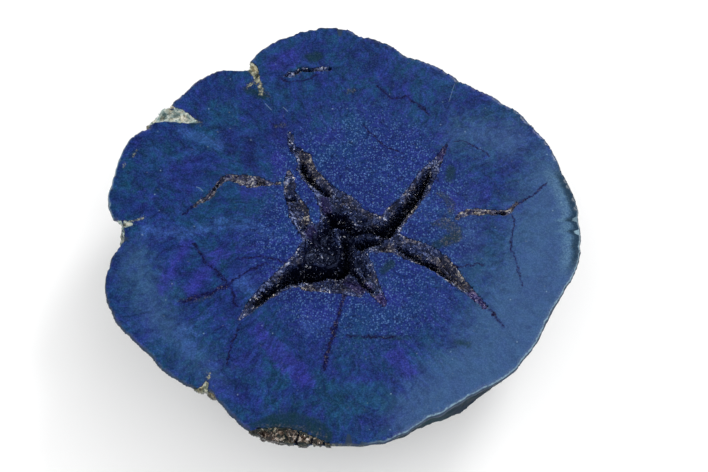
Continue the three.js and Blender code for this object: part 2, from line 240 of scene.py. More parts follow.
hollow = {
    "arms": [
        [(-7.0, 12.9, 0.2), (-6.8, 12.3, 0.4), (-6.85, 11.6, 0.35), (-6.5, 10.9, 0.42), (-5.8, 10.3, 0.55),
         (-5.1, 9.4, 0.9), (-4.85, 8.3, 1.0), (-4.5, 7.3, 1.05), (-3.7, 6.3, 1.1), (-2.9, 5.4, 1.15),
         (-1.6, 4.5, 0.9), (0.0, 3.6, 0.9), (1.1, 2.4, 1.0), (2.0, 1.2, 1.1), (4.0, 0.4, 1.2)],
        [(-7.05, 7.6, 0.18), (-7.0, 6.8, 0.45), (-6.9, 5.7, 0.72), (-6.9, 4.6, 0.72), (-6.3, 3.5, 0.9),
         (-5.9, 2.4, 1.15), (-5.5, 1.2, 1.2), (-5.0, 0.1, 1.0), (-4.0, -1.2, 1.3), (-3.2, -3.0, 2.4)],
        [(-2.9, 4.6, 0.9), (-2.3, 3.2, 0.95), (-1.8, 1.8, 1.1), (-1.8, 0.4, 1.2), (-2.4, -1.2, 1.8)],
        [(-1.0, 3.0, 1.3), (-0.3, 1.6, 1.5), (0.6, -0.4, 1.6)],
        [(-12.8, -12.6, 0.1), (-12.1, -11.7, 0.4), (-11.3, -10.6, 0.7), (-10.2, -9.6, 0.9), (-9.0, -8.45, 1.15),
         (-7.0, -6.9, 1.5), (-5.0, -6.0, 2.3), (-3.0, -4.8, 3.3), (-1.0, -4.0, 2.6)],
        [(-4.5, -7.8, 1.0), (-2.0, -7.9, 1.0), (0.2, -8.2, 1.1), (1.6, -8.4, 1.1)],
        [(-0.5, -6.5, 1.5), (0.8, -7.2, 1.2), (2.2, -7.9, 0.9)],
        [(1.2, -6.0, 1.2), (2.0, -4.5, 1.1), (2.6, -5.6, 1.0), (3.0, -6.9, 1.05), (3.5, -8.2, 0.9),
         (4.3, -9.4, 0.6), (4.9, -10.4, 0.32), (5.1, -11.1, 0.1)],
        [(0.5, -2.0, 1.6), (3.0, -2.0, 1.5), (5.0, -2.3, 1.3), (6.5, -2.4, 1.3), (8.0, -3.1, 1.35),
         (10.0, -3.9, 1.45), (11.9, -5.0, 1.3), (13.9, -7.2, 0.9), (15.9, -9.3, 0.45), (17.3, -10.8, 0.2),
         (18.6, -12.1, 0.08)],
        [(13.2, 11.5, 0.1), (12.5, 10.2, 0.32), (11.9, 9.1, 0.55), (11.2, 8.0, 0.85), (10.5, 6.8, 1.05),
         (9.7, 5.4, 1.2), (8.75, 4.1, 1.25), (7.8, 2.9, 1.3), (6.9, 1.8, 1.4), (6.0, 0.6, 1.5), (5.4, -0.6, 1.5),
         (3.0, -0.6, 1.3), (0.0, -0.5, 1.3)],
    ],
    "slits": [
        [(-5.35, 8.85, 0.28), (-5.15, 8.0, 0.4), (-4.85, 7.3, 0.4), (-4.3, 6.6, 0.42), (-3.9, 6.1, 0.34),
         (-3.3, 5.45, 0.26), (-2.5, 4.95, 0.18), (-1.9, 4.4, 0.2)],
        [(-7.6, 3.75, 0.1), (-7.1, 3.8, 0.14), (-6.3, 3.9, 0.08)],
        [(-2.0, 2.1, 0.25), (-1.3, 1.4, 0.85), (-0.7, 0.9, 0.8), (0.0, 1.7, 0.3), (0.5, 0.7, 0.5),
         (1.5, -0.1, 0.3), (3.4, 0.1, 0.3), (4.8, -0.3, 0.9)],
        [(-11.0, -10.7, 0.2), (-10.2, -9.9, 0.42), (-9.4, -9.1, 0.5), (-8.5, -8.3, 0.5), (-7.6, -7.5, 0.7),
         (-6.3, -6.6, 1.1), (-4.6, -6.0, 1.3), (-2.8, -6.1, 1.0), (-1.1, -5.9, 0.8), (0.3, -5.2, 1.0),
         (0.4, -4.0, 0.85), (0.3, -2.7, 0.6), (-0.1, -1.4, 0.4)],
        [(0.9, -5.8, 0.5), (1.9, -6.7, 0.22), (2.5, -7.7, 0.26), (3.4, -8.8, 0.18)],
        [(1.6, -1.9, 0.2), (3.2, -1.8, 0.25), (4.6, -1.7, 0.2)],
        [(6.8, -2.8, 0.16), (8.6, -4.0, 0.38), (9.8, -4.8, 0.4), (11.0, -5.4, 0.34), (12.0, -6.2, 0.2),
         (13.2, -7.2, 0.08)],
        [(10.8, 7.9, 0.16), (10.6, 7.0, 0.36), (10.2, 6.2, 0.42), (9.8, 5.3, 0.6), (9.2, 4.4, 0.72),
         (8.5, 3.4, 0.68), (7.7, 2.4, 0.62), (7.0, 1.5, 0.75), (6.2, 0.5, 0.85), (5.4, -0.5, 0.95)],
    ],
    "warm": [[(-5.2, 10.2, 0.4), (-4.3, 9.0, 0.4), (-3.6, 7.2, 0.4)], [(-5.0, 3.4, 0.3), (-4.5, 2.2, 0.3), (-4.6, 1.0, 0.2)],
             [(-5.2, -8.9, 0.3), (-4.6, -8.6, 0.3)], [(-12.1, -11.5, 0.4)], [(12.2, -5.0, 0.5), (13.6, -6.8, 0.6), (14.8, -8.0, 0.5)],
             [(8.2, 1.9, 0.3), (8.8, 2.4, 0.3)], [(11.6, 7.2, 0.4)], [(4.8, -3.0, 0.3), (5.8, -3.2, 0.3)], [(-2.6, -7.7, 0.5)]],
    "purple": [[(13.2, 11.5, 0.6), (12.4, 9.9, 0.6)], [(15.8, -9.2, 0.4), (17.4, -10.9, 0.5), (18.6, -12.1, 0.5)],
               [(0.4, -7.2, 0.4), (2.2, -8.2, 0.8), (3.2, -8.0, 0.2)], [(4.4, -9.6, 0.4), (5.2, -11.1, 0.5)],
               [(-2.6, 3.9, 0.4), (-2.2, 2.6, 0.5)], [(-12.9, -12.6, 0.4)], [(-4.2, -0.6, 0.6), (-3.2, -1.6, 0.5)]],
    "centre": (-0.6, -2.6), "centreReach": 7.5, "centreDepth": 1.5,
    "bandDepth": 0.45, "slitSlope": 4.5, "slitFloor": 6.0,
}
crustThickness = 0.9  # of the crusts, in mm
leftVein = {
    "arms": [
        [(-18.9, 2.7, 0.1), (-18.3, 3.3, 0.2), (-17.4, 3.85, 0.28), (-16.8, 4.4, 0.36), (-16.4, 5.2, 0.28),
         (-15.9, 6.0, 0.28), (-15.3, 6.6, 0.3), (-14.6, 6.8, 0.42), (-13.6, 6.6, 0.58), (-12.5, 6.35, 0.75),
         (-11.3, 6.25, 0.75), (-10.4, 6.1, 0.5), (-9.5, 5.85, 0.3), (-8.9, 5.8, 0.2), (-8.0, 6.0, 0.1)],
    ],
    "slits": [[(-16.6, 4.9, 0.05), (-16.3, 5.4, 0.12), (-16.0, 5.8, 0.05)]],
}
rightVein = {
    "arms": [
        [(13.9, 1.0, 0.12), (14.8, 1.5, 0.3), (15.6, 1.9, 0.38), (17.0, 2.0, 0.38), (18.3, 1.9, 0.36),
         (19.5, 1.85, 0.3), (20.5, 1.9, 0.28), (21.0, 2.2, 0.2), (21.5, 2.8, 0.2), (22.0, 3.4, 0.1)],
    ],
    "slits": [[(19.2, 1.8, 0.04), (19.8, 1.75, 0.1), (20.3, 1.9, 0.04)]],
}
topFissure = {
    "arms": [
        [(-7.9, 21.5, 0.12), (-7.2, 21.6, 0.36), (-6.4, 21.8, 0.25), (-5.6, 22.35, 0.3), (-4.5, 22.3, 0.24),
         (-3.4, 22.35, 0.28), (-2.4, 22.5, 0.28), (-1.3, 22.5, 0.18), (-0.4, 22.6, 0.06)],
    ],
    "slits": [[(-6.4, 21.8, 0.06), (-5.6, 22.35, 0.18), (-4.4, 22.3, 0.12)], [(-2.0, 22.5, 0.1), (-1.2, 22.5, 0.08)]],
}
shallowCrust = {
    "centre": (0, 0), "centreReach": 1, "centreDepth": 0, "bandDepth": 0.16, "slitSlope": 6, "slitFloor": 1.6,
}
for vein in (leftVein, rightVein, topFissure):
    vein.update(shallowCrust)

# what fills the notches and the rusty patch: how much wider than its plain solid each body is made and
# how far it is moved inwards, in mm, so that it meets the nodule; shelf is how deep the nodule's own blue
# reaches over it, and arms is the part that breaks the face
fillings = {
    "matrix_upper_left_notch": {
        "swell": (1.22, 1.45), "inwards": (0.3, -0.1), "shelf": 2.0,
        "arms": [[(-27.2, 13.5, 0.1), (-25.9, 14.2, 0.35), (-24.6, 14.9, 0.5), (-23.5, 15.4, 0.65), (-22.5, 15.9, 1.15),
                  (-21.3, 15.6, 0.95), (-20.2, 15.2, 0.6), (-19.2, 14.8, 0.25)]],
    },
    "matrix_top_notch": {
        "swell": (1.3, 1.2), "inwards": (0.1, -0.25), "shelf": 1.2,
        "arms": [[(-12.3, 22.9, 0.5), (-11.8, 22.3, 0.6), (-11.5, 21.4, 0.36), (-11.2, 20.6, 0.25), (-10.9, 19.6, 0.12)]],
    },
    "matrix_left_notch": {
        "swell": (1.3, 1.3), "inwards": (0.3, 0.0), "shelf": 1.2,
        "arms": [[(-28.4, 0.3, 0.3), (-27.6, 0.3, 0.45), (-26.8, 0.25, 0.25)],
                 [(-28.1, -0.1, 0.4), (-28.0, -1.0, 0.4), (-28.2, -2.1, 0.3)]],
    },
    "matrix_lower_left_notch": {
        "swell": (1.3, 1.3), "inwards": (0.45, 0.6), "shelf": 1.2,
        "arms": [[(-18.2, -21.9, 0.1), (-17.4, -21.8, 0.3), (-16.8, -21.4, 0.35), (-16.5, -20.6, 0.15)]],
    },
    "rusty_patch_front": {
        "swell": (1.12, 1.25), "inwards": (0.25, 0.3), "shelf": 9.0,
        "arms": [[(-11.3, -27.1, 0.15), (-9.8, -27.3, 0.6), (-8.3, -27.5, 1.0), (-6.7, -27.6, 1.0), (-5.2, -27.9, 0.8),
                  (-3.8, -28.2, 0.55), (-2.6, -28.5, 0.3), (-1.8, -28.7, 0.1)]],
    },
}
for filling in fillings.values():
    filling.update(shallowCrust)
    filling["slits"] = []

# stains and patches of the face: how far each fades out in mm, then its strokes
faceZones = {
    # the first zone: a milky tone, mostly on the right, partly the stone's own and partly a painted reflection of the
    # light
    "hazeAndSheen": (9.0, [
        [(28.0, 6.0, 2.0), (26.0, -8.0, 4.5), (19.0, -19.0, 3.5), (9.0, -25.0, 0.5)], [(-26.0, -5.0, -1.8), (-23.0, -12.0, -1.8), (-16.0, -20.0, -3.0)],
        [(15.0, 13.0, -2.0), (21.0, 12.0, -1.0)], [(15.0, 3.0, -3.2), (16.5, -6.0, -1.6)],
    ]),
    "clay": (0.45, [
        [(-11.2, 20.8, 0.1), (-10.7, 18.8, 0.1)], [(-12.6, 19.8, 0.0), (-11.6, 20.6, 0.0)], [(-18.9, 14.6, 0.0), (-18.4, 14.5, 0.0)],
        [(-26.9, 0.6, 0.0), (-25.9, 0.8, 0.0), (-25.3, 1.1, 0.0)], [(-28.2, -2.4, 0.1)],
        [(-16.4, -20.3, 0.05), (-16.4, -19.7, 0.0)], [(-16.0, -21.2, 0.0)],
        [(-26.9, 9.8, 0.0), (-26.6, 10.5, 0.0)], [(-28.0, 8.2, 0.0), (-27.9, 8.7, 0.0)],
        [(-2.2, -29.0, 0.2), (2.0, -29.1, 0.1), (6.0, -28.8, 0.0)],
    ]),
    "deep": (2.2, [
        [(-1.5, 8.0, 0.8), (1.0, 6.5, 1.2), (3.4, 4.6, 1.2), (4.6, 3.4, 0.6)], [(-8.3, 13.9, 0.9), (-7.6, 11.5, 0.3)],
        [(-9.0, 1.8, 0.6), (-8.2, 2.6, 0.5)], [(-5.2, 5.2, 0.4), (-4.6, 3.6, 0.3)], [(9.2, -0.9, 0.8), (10.6, -1.0, 0.5)],
        [(-7.4, -9.6, 0.4), (-4.0, -9.4, 0.3), (-1.5, -9.8, 0.4)], [(-15.2, 12.6, 0.8), (-14.6, 11.0, 0.4)],
        [(-12.2, 11.4, 0.3), (-12.3, 9.4, 0.4), (-11.8, 8.2, 0.2)], [(-18.2, 8.6, 0.7)], [(3.6, 9.6, 0.4), (5.4, 10.8, 0.2)],
        [(4.0, -4.6, 0.4), (6.2, -4.6, 0.3)], [(14.8, -3.2, 0.3), (16.8, -3.1, 0.2)],
    ]),
    "violet": (2.0, [
        [(-10.6, -14.2, 0.3), (-8.4, -16.4, 0.9), (-6.0, -19.2, 0.8), (-4.4, -21.0, 0.3)], [(-18.3, 18.6, 0.8)],
        [(-19.6, -2.6, 0.2), (-21.0, -5.0, 0.3), (-22.4, -8.4, 0.2)], [(-15.2, -3.6, 0.2), (-17.6, -6.6, 0.5), (-18.8, -8.8, 0.3)],
        [(6.4, -17.6, 0.8), (8.0, -19.4, 0.4)], [(12.4, 10.0, 0.1), (11.9, 8.8, 0.2)], [(14.1, 3.7, 0.5), (14.3, 2.6, 0.3)],
        [(5.0, -10.0, 0.5), (7.2, -10.2, 0.3)], [(-7.2, 24.0, 0.8), (-9.2, 23.0, 0.4)], [(-3.6, -11.8, 1.0), (-1.8, -12.4, 0.4)],
        [(20.8, 1.8, 0.5)], [(16.6, -1.8, 1.1)], [(-3.4, 12.2, 0.3), (-0.8, 12.6, 0.6)], [(-8.4, 9.4, 0.4), (-8.2, 7.4, 0.3)],
        [(-12.4, 4.6, 0.4), (-10.6, 4.9, 0.3)], [(13.0, 17.2, 0.7)], [(9.4, 20.4, 0.9)], [(19.8, -18.6, 0.8)],
    ]),
    "pale": (1.8, [
        [(-4.2, -13.3, 0.8), (-2.6, -13.6, 0.5)], [(-25.0, -0.5, 0.2), (-20.0, -1.1, 0.3), (-15.6, 0.4, 0.2), (-11.0, -0.2, 0.3), (-8.2, -1.6, 0.2)],
        [(-20.6, 13.2, 0.2), (-18.2, 12.2, 0.3), (-15.8, 11.2, 0.2)], [(-6.6, 8.6, 0.3)], [(-12.6, -7.6, 0.8), (-11.4, -8.6, 0.3)],
        [(-4.1, -20.6, 0.4)],
        [(-19.6, -14.6, 0.7), (-18.6, -16.6, 0.5)], [(10.2, 3.0, 0.5), (9.4, 1.4, 0.4)], [(5.8, 4.6, 0.5)],
    ]),
    "teal": (2.6, [
        [(-14.2, -24.2, 0.8), (-12.6, -24.6, 0.6)], [(-19.8, -19.4, 1.0)], [(-0.8, -21.6, 0.3)], [(-1.2, -24.6, 0.4), (-2.8, -20.6, 0.2)],
        [(-24.8, 1.2, 0.6)], [(-17.0, 13.2, 1.4), (-15.0, 16.0, 1.2)], [(-11.6, 17.2, 1.2)], [(1.2, 14.2, 1.4), (-2.6, 8.4, 0.4)], [(-12.0, 1.6, 1.0)],
        [(-1.0, -13.0, 0.4), (3.4, -13.2, 1.8), (8.0, -11.0, 0.8)], [(19.4, 2.7, 0.4)], [(12.6, 2.8, 0.8)], [(-27.4, 8.6, 0.4), (-28.2, 5.4, 0.2)], [(2.4, 24.6, 1.4)], [(-26.2, -12.6, 0.6)],
        [(-2.0, -22.5, 1.2), (4.0, -23.0, 1.6)], [(-9.6, -12.2, 0.8)], [(21.4, 17.6, 1.2)], [(14.6, -6.6, 0.8), (16.6, -5.4, 0.4)],
    ]),
    "olive": (1.0, [
        [(-4.6, 24.2, 0.5), (-3.4, 24.2, 0.5)], [(21.6, -0.2, 0.5)], [(13.6, -15.6, 0.1), (15.2, -15.9, 0.25)], [(13.6, 8.0, 0.4), (13.4, 6.4, 0.3)],
        [(4.8, -6.3, 0.3), (5.8, -5.2, 0.3)], [(-11.0, -26.2, 0.2), (-8.4, -25.9, 0.9), (-5.6, -26.0, 1.1), (-3.6, -26.6, 1.0), (-2.0, -27.6, 0.6)],
        [(0.6, -14.9, 0.0), (6.2, -15.0, 0.05), (11.0, -15.0, -0.3)], [(-19.6, 14.2, 0.3), (-18.9, 14.9, 0.2)], [(-12.4, 19.2, 0.4), (-10.6, 18.4, 0.3)],
        [(0.9, 19.0, 0.3)], [(11.4, -2.8, 0.3), (13.9, -1.4, 0.5)],
    ]),
    "tan": (0.7, [
        [(11.4, 0.3, 0.3), (12.8, 0.3, 0.7), (13.9, -0.5, 0.7), (14.4, -1.5, 0.4), (12.8, -2.2, 0.5)],
        [(12.0, 4.6, 0.2), (12.8, 3.9, 0.4), (13.5, 3.0, 0.4), (13.5, 2.0, 0.3)], [(0.6, 19.1, 0.2), (1.1, 19.3, 0.15)],
        [(-12.9, 19.5, 0.1), (-11.6, 20.6, 0.2), (-11.0, 20.2, 0.2), (-10.5, 18.8, 0.3), (-9.8, 18.4, 0.1)],
        [(-20.2, -10.2, 0.1), (-18.6, -10.0, 0.15), (-16.5, -9.6, 0.1)], [(-8.7, 14.1, 0.12), (-7.7, 14.2, 0.12)],
        [(-10.2, -26.5, 0.0), (-7.4, -26.3, 0.1), (-4.6, -26.7, 0.1), (-2.0, -27.9, 0.0)],
    ]),
}


def strokesField(plan, strokes):
    """Distance in mm from each plan point to the nearest stroke's edge, negative inside it."""
    nearest = np.full(len(plan), 99.0)
    for line in strokes:
        for (x0, y0, w0), (x1, y1, w1) in zip(line, line[1:]):
            along = np.array((x1 - x0, y1 - y0))
            offset = plan - (x0, y0)
            share = np.clip(offset @ along / (along @ along), 0, 1)
            away = np.linalg.norm(offset - share[:, None] * along, axis=1)
            nearest = np.minimum(nearest, away - w0 - share * (w1 - w0))
    return nearest


def raggedField(plan, strokes, raggedness):
    flat = np.column_stack((plan, np.zeros(len(plan))))
    ragged = noiseAt(flat, 0.9, 3, 21) * raggedness + noiseAt(flat, 0.35, 2, 22) * raggedness * 0.5
    return strokesField(plan, strokes) + ragged - 0.08


def crustDepth(plan, shape, field):
    """How far the crystal crust lies below the face, in mm, at each plan point."""
    flat = np.column_stack((plan, np.zeros(len(plan))))
    slit = raggedField(plan, shape["slits"], 0.12)
    depth = 0.1 + shape["bandDepth"] * smoothStep(-field, -0.1, 1.1)
    central = smoothStep(-np.linalg.norm(plan - shape["centre"], axis=1), -shape["centreReach"], -2)
    depth += shape["centreDepth"] * central * smoothStep(-field, 0, 1.5)
    depth += np.minimum(np.clip(0.1 - slit, 0, None) * shape["slitSlope"], shape["slitFloor"])
    depth += (0.28 + 0.7 * central) * noiseAt(flat, 1.5, 3, 23) * smoothStep(-field, 0, 0.5)
    return np.clip(depth, 0.06, None)


# the half nodule

stoneLook = {
    "voxel": 0.3 * mm,
    "coarseDepth": 0.45, "coarseWave": 3.6 * mm,  # depths in mm
    "fineDepth": 0.22, "fineWave": 1.1 * mm,
    "rimWear": 0.16, "rimWave": 1.4 * mm,
    "blue": paint(24, 48, 108), "teal": paint(22, 68, 104), "violet": paint(50, 50, 148),
    # the milky colour stands partly for a painted reflection on the right of the face
    "milkyAndSheen": paint(66, 100, 145), "dark": paint(12, 18, 60), "deepBlue": paint(24, 28, 92),
    "pale": paint(58, 92, 162), "tealPatch": paint(22, 72, 102),
    "grainBack": paint(22, 44, 116), "grainDot": paint(102, 144, 200),
    "crack": paint(5, 7, 44), "crackHalo": paint(22, 24, 96), "crackTan": paint(120, 112, 122),
    "olive": paint(16, 48, 56), "tan": paint(128, 122, 116), "tanBack": paint(36, 52, 66),
    "scratch": paint(150, 180, 205), "clayOnFace": paint(178, 178, 150), "clayShade": paint(60, 72, 74),
    "rimHighlightColour": paint(156, 192, 212), "rimDark": paint(14, 44, 66), "bandPale": paint(104, 146, 172),
    # the pale rim colour is a painted highlight on the chamfer
    "skinBlue": paint(6, 34, 54), "skinTeal": paint(8, 50, 62), "clay": paint(92, 92, 72),
    "chip": 0.42, "chipWave": 3.4 * mm, "chipReach": 2.2,  # rim chips, in mm
    "roughness": 0.24, "specular": 0.3,
}

# hairline cracks of the face, seen from above, in mm: half width, then the points it runs through
darkCracks = [
    (0.22, [(-18.8, 2.9), (-20.3, 1.6)]),
    (0.11, [(21.1, 1.4), (21.5, 0.1), (20.8, -1.9), (21.1, -4.0), (22.2, -8.0)]),
    (0.28, [(-18.9, -2.4), (-17.3, -4.9), (-16.0, -6.0), (-14.1, -8.2), (-13.2, -10.8)]),
    (0.22, [(-14.1, -7.9), (-12.3, -6.3), (-9.6, -5.2)]),
    (0.2, [(-13.4, -4.5), (-10.2, -4.2), (-6.9, -5.0)]),
    (0.2, [(4.2, 19.7), (6.3, 18.1), (8.1, 18.3), (10.9, 15.8)]),
    (0.16, [(2.5, 13.9), (5.1, 11.2), (7.4, 10.2)]),
    (0.2, [(-12.9, -13.4), (-13.6, -15.6), (-14.2, -18.4)]),
    (0.13, [(14.2, 12.1), (16.1, 11.6), (18.6, 9.8)]),
    (0.18, [(17.9, -11.2), (19.5, -13.6)]),
    (0.17, [(-8.4, 20.9), (-5.8, 20.5), (-3.6, 21.6)]),
    (0.16, [(0.4, -14.8), (6.3, -14.9)]),
    (0.11, [(13.2, -5.6), (17.6, -5.2)]),
]
grainyCracks = [
    (0.3, [(0.2, -9.4), (-0.7, -12.4), (-1.6, -15.1), (-2.4, -19.0)]),
    (0.13, [(20.4, 1.9), (22.8, 3.6), (25.7, 5.8)]),
    (0.3, [(-19.9, -10.2), (-17.8, -9.5), (-14.6, -8.2)]),
]
scratches = [
    (0.07, [(-18.7, 5.4), (-18.3, 5.25), (-17.9, 4.85)]),
    (0.06, [(-10.2, 17.3), (-9.4, 16.4)]),
    (0.06, [(-7.9, 16.8), (-7.3, 16.2)]),
    (0.04, [(14.3, 20.2), (13.5, 17.6)]),
]


def crackGroup():
    """Nearness of a point to one straight stretch of a crack: 1 on it, 0 past its half width."""
    group = bpy.data.node_groups.new("crack stretch", "ShaderNodeTree")
    face = group.interface
    for name, kind in (("Point", "Vector"), ("Start", "Vector"), ("End", "Vector"), ("Half Width", "Float")):
        face.new_socket(name, in_out="INPUT", socket_type="NodeSocket" + kind)
    face.new_socket("Near", in_out="OUTPUT", socket_type="NodeSocketFloat")
    given = addNode(group, "NodeGroupInput").outputs
    along = vectorCalc(group, "SUBTRACT", given["End"], given["Start"])
    offset = vectorCalc(group, "SUBTRACT", given["Point"], given["Start"])
    share = calc(group, "DIVIDE", vectorCalc(group, "DOT_PRODUCT", offset, along),
                 vectorCalc(group, "DOT_PRODUCT", along, along), clamp=True)
    away = vectorCalc(group, "DISTANCE", offset, stretch(group, along, share))
    near = between(group, away, given["Half Width"], 0.0)
    addNode(group, "NodeGroupOutput", {"Near": near})
    return group


haloWidth = 2.0  # a crack's stain is this many times as wide as the crack


def cracksMask(tree, group, place, cracks):
    strongest = None
    for halfWidth, line in cracks:
        for start, end in zip(line, line[1:]):
            stretchNode = addNode(tree, "ShaderNodeGroup", node_tree=group)
            tree.links.new(place, stretchNode.inputs["Point"])
            stretchNode.inputs["Start"].default_value = (*start, 0)
            stretchNode.inputs["End"].default_value = (*end, 0)
            stretchNode.inputs["Half Width"].default_value = halfWidth * haloWidth
            near = stretchNode.outputs["Near"]
            strongest = near if strongest is None else calc(tree, "MAXIMUM", strongest, near)
    return strongest


def greyTone(tree, shade):
    return addNode(tree, "ShaderNodeCombineXYZ", {"X": shade, "Y": shade, "Z": shade}).outputs[0]


def stoneMaterial():
    look = stoneLook
    material, tree, shader, place = newMaterial("polished azurite")
    flat = vectorCalc(tree, "MULTIPLY", place, (1, 1, 0))
    depth = calc(tree, "SUBTRACT", faceZ / mm, addNode(tree, "ShaderNodeSeparateXYZ", {0: place}).outputs["Z"])
    radial = vectorCalc(tree, "NORMALIZE", flat)
    reach = vectorCalc(tree, "LENGTH", flat)
    rimGap = attributeNode(tree, "rimGap")
    wander = noiseNode(tree, flat, 0.16, 2).outputs["Color"]

    # noise drawn out along lines that spread from the middle of the face
    def radialNoise(around, along, detail, warp):
        lift = addNode(tree, "ShaderNodeCombineXYZ", {"Z": calc(tree, "MULTIPLY", reach, along)}).outputs[0]
        swept = vectorCalc(tree, "ADD", stretch(tree, radial, around), lift)
        swept = vectorCalc(tree, "ADD", swept, stretch(tree, wander, warp))
        return noiseNode(tree, swept, 1.0, detail, 0.65).outputs["Fac"]

    # one of the painted zones, frayed by noise
    def frayed(name, amount, breakUp, fray=2.4, low=0.4, high=1.1):
        loose = calc(tree, "MULTIPLY", calc(tree, "SUBTRACT", breakUp, 0.5), fray)
        return calc(tree, "MULTIPLY", between(tree, calc(tree, "ADD", attributeNode(tree, name), loose), low, high), amount)

    # broad patches of the face
    broad = noiseNode(tree, flat, 0.14, 4, 0.6, 0.6).outputs["Fac"]
    wispy = noiseNode(tree, flat, 0.7, 7, 0.7, 1.2).outputs["Fac"]
    middling = noiseNode(tree, flat, 1.3, 6, 0.7, 0.6).outputs["Fac"]
    streaky = radialNoise(10, 0.22, 6, 4)
    tealPart = calc(tree, "ADD", calc(tree, "MULTIPLY", broad, 0.8), calc(tree, "MULTIPLY", wispy, 0.6))
    colour = mixColour(tree, between(tree, tealPart, 0.6, 0.82, 0, 0.9), look["blue"], look["teal"])
    wide = vectorCalc(tree, "MULTIPLY", vectorCalc(tree, "SUBTRACT", flat, (2.5, 0, 0)), (1 / 13.5, 1 / 16, 0))
    inside = calc(tree, "ADD", vectorCalc(tree, "LENGTH", wide), calc(tree, "MULTIPLY", broad, 0.6))
    grainy = between(tree, inside, 1.55, 1.05)
    # milky zone, mostly on the right: partly the stone's own tone, partly a painted reflection of the light; fine
    # texture is calmed under it
    hazeAndSheen = frayed("hazeAndSheen", 1.0, wispy, 1.2, 0.1, 1.1)
    colour = mixColour(tree, calc(tree, "MULTIPLY", hazeAndSheen, 0.8), colour, look["milkyAndSheen"])
    calm = calc(tree, "SUBTRACT", 1.0, calc(tree, "MULTIPLY", hazeAndSheen, 0.7))
    mottled = calc(tree, "MULTIPLY", calc(tree, "SUBTRACT", 1.0, calc(tree, "MULTIPLY", hazeAndSheen, 0.7)),
                   calc(tree, "ADD", 0.55, calc(tree, "MULTIPLY", grainy, 0.45)))
    violetSpots = calc(tree, "MULTIPLY", between(tree, middling, 0.48, 0.64, 0, 0.6), mottled)
    colour = mixColour(tree, violetSpots, colour, look["violet"])
    violetPart = calc(tree, "ADD", streaky, calc(tree, "MULTIPLY", wispy, 0.5))
    violetPart = calc(tree, "MULTIPLY", between(tree, violetPart, 0.72, 0.92, 0, 0.6), mottled)
    colour = mixColour(tree, violetPart, colour, look["violet"])
    for name, key, amount in (("teal", "tealPatch", 0.55), ("deep", "deepBlue", 0.7), ("violet", "violet", 0.65),
                              ("pale", "pale", 0.5)):
        colour = mixColour(tree, frayed(name, amount, wispy), colour, look[key])

    # growth bands that follow the rim and fibres that spread from the middle
    bandPlace = calc(tree, "ADD", rimGap, calc(tree, "MULTIPLY", broad, 6))
    bands = noiseNode(tree, addNode(tree, "ShaderNodeCombineXYZ", {"X": bandPlace}).outputs[0], 0.6, 3, 0.6).outputs["Fac"]
    outer = calc(tree, "MULTIPLY", calc(tree, "SUBTRACT", 1.0, calc(tree, "MULTIPLY", grainy, 0.7)), calm)
    bandShade = between(tree, bands, 0.35, 0.65, 1.06, 0.92)
    fibreShade = between(tree, radialNoise(24, 0.5, 7, 7), 0.32, 0.68, 0.66, 1.34)
    threadShade = between(tree, radialNoise(70, 0.9, 4, 14), 0.3, 0.7, 0.84, 1.16)
    shade = calc(tree, "MULTIPLY", calc(tree, "MULTIPLY", fibreShade, bandShade), threadShade)
    colour = mixColour(tree, outer, colour, mixColour(tree, 1.0, colour, greyTone(tree, shade), "MULTIPLY"))

    # the grainy middle zone: small pale dots set close together
    dots = cells(tree, flat, 3.8)
    dotKeep = addNode(tree, "ShaderNodeSeparateColor", {0: dots.outputs["Color"]}).outputs[0]
    dotShape = between(tree, dots.outputs["Distance"], 0.5, 0.14)
    dotShape = calc(tree, "MULTIPLY", dotShape, between(tree, dotKeep, 0.0, 1.0, 0.45, 1.0))
    dotShape = calc(tree, "MULTIPLY", dotShape, between(tree, wispy, 0.35, 0.6, 0.55, 1.0))
    grainColour = mixColour(tree, 0.5, colour, look["grainBack"])
    grainColour = mixColour(tree, calc(tree, "MULTIPLY", dotShape, 0.8), grainColour, look["grainDot"])
    colour = mixColour(tree, grainy, colour, grainColour)

    # dark mottling, fine grain and a few pale specks
    mottle = noiseNode(tree, flat, 1.0, 7, 0.75, 0.5).outputs["Fac"]
    darkSpots = calc(tree, "MULTIPLY", between(tree, mottle, 0.5, 0.68, 0, 0.7), mottled)
    colour = mixColour(tree, darkSpots, colour, look["dark"])
    speck = noiseNode(tree, place, 5.5, 3, 0.7).outputs["Fac"]
    colour = mixColour(tree, calm, colour, greyTone(tree, between(tree, speck, 0.28, 0.72, 0.66, 1.42)), "MULTIPLY")
    dust = cells(tree, flat, 0.9)
    dustKeep = addNode(tree, "ShaderNodeSeparateColor", {0: dust.outputs["Color"]}).outputs[1]
    dustShape = calc(tree, "MULTIPLY", between(tree, dust.outputs["Distance"], 0.12, 0.05), between(tree, dustKeep, 0.7, 0.9))
    colour = mixColour(tree, calc(tree, "MULTIPLY", dustShape, 0.5), colour, look["scratch"])

    # olive stains and tan grains
    fine = noiseNode(tree, place, 2.6, 4, 0.75).outputs["Fac"]
    colour = mixColour(tree, frayed("olive", 0.75, wispy, 1.6), colour, look["olive"])
    tanPart = frayed("tan", 1.0, fine, 2.6)
    colour = mixColour(tree, calc(tree, "MULTIPLY", tanPart, 0.6), colour, look["tanBack"])
    colour = mixColour(tree, calc(tree, "MULTIPLY", tanPart, between(tree, speck, 0.54, 0.66, 0, 0.6)), colour, look["tan"])

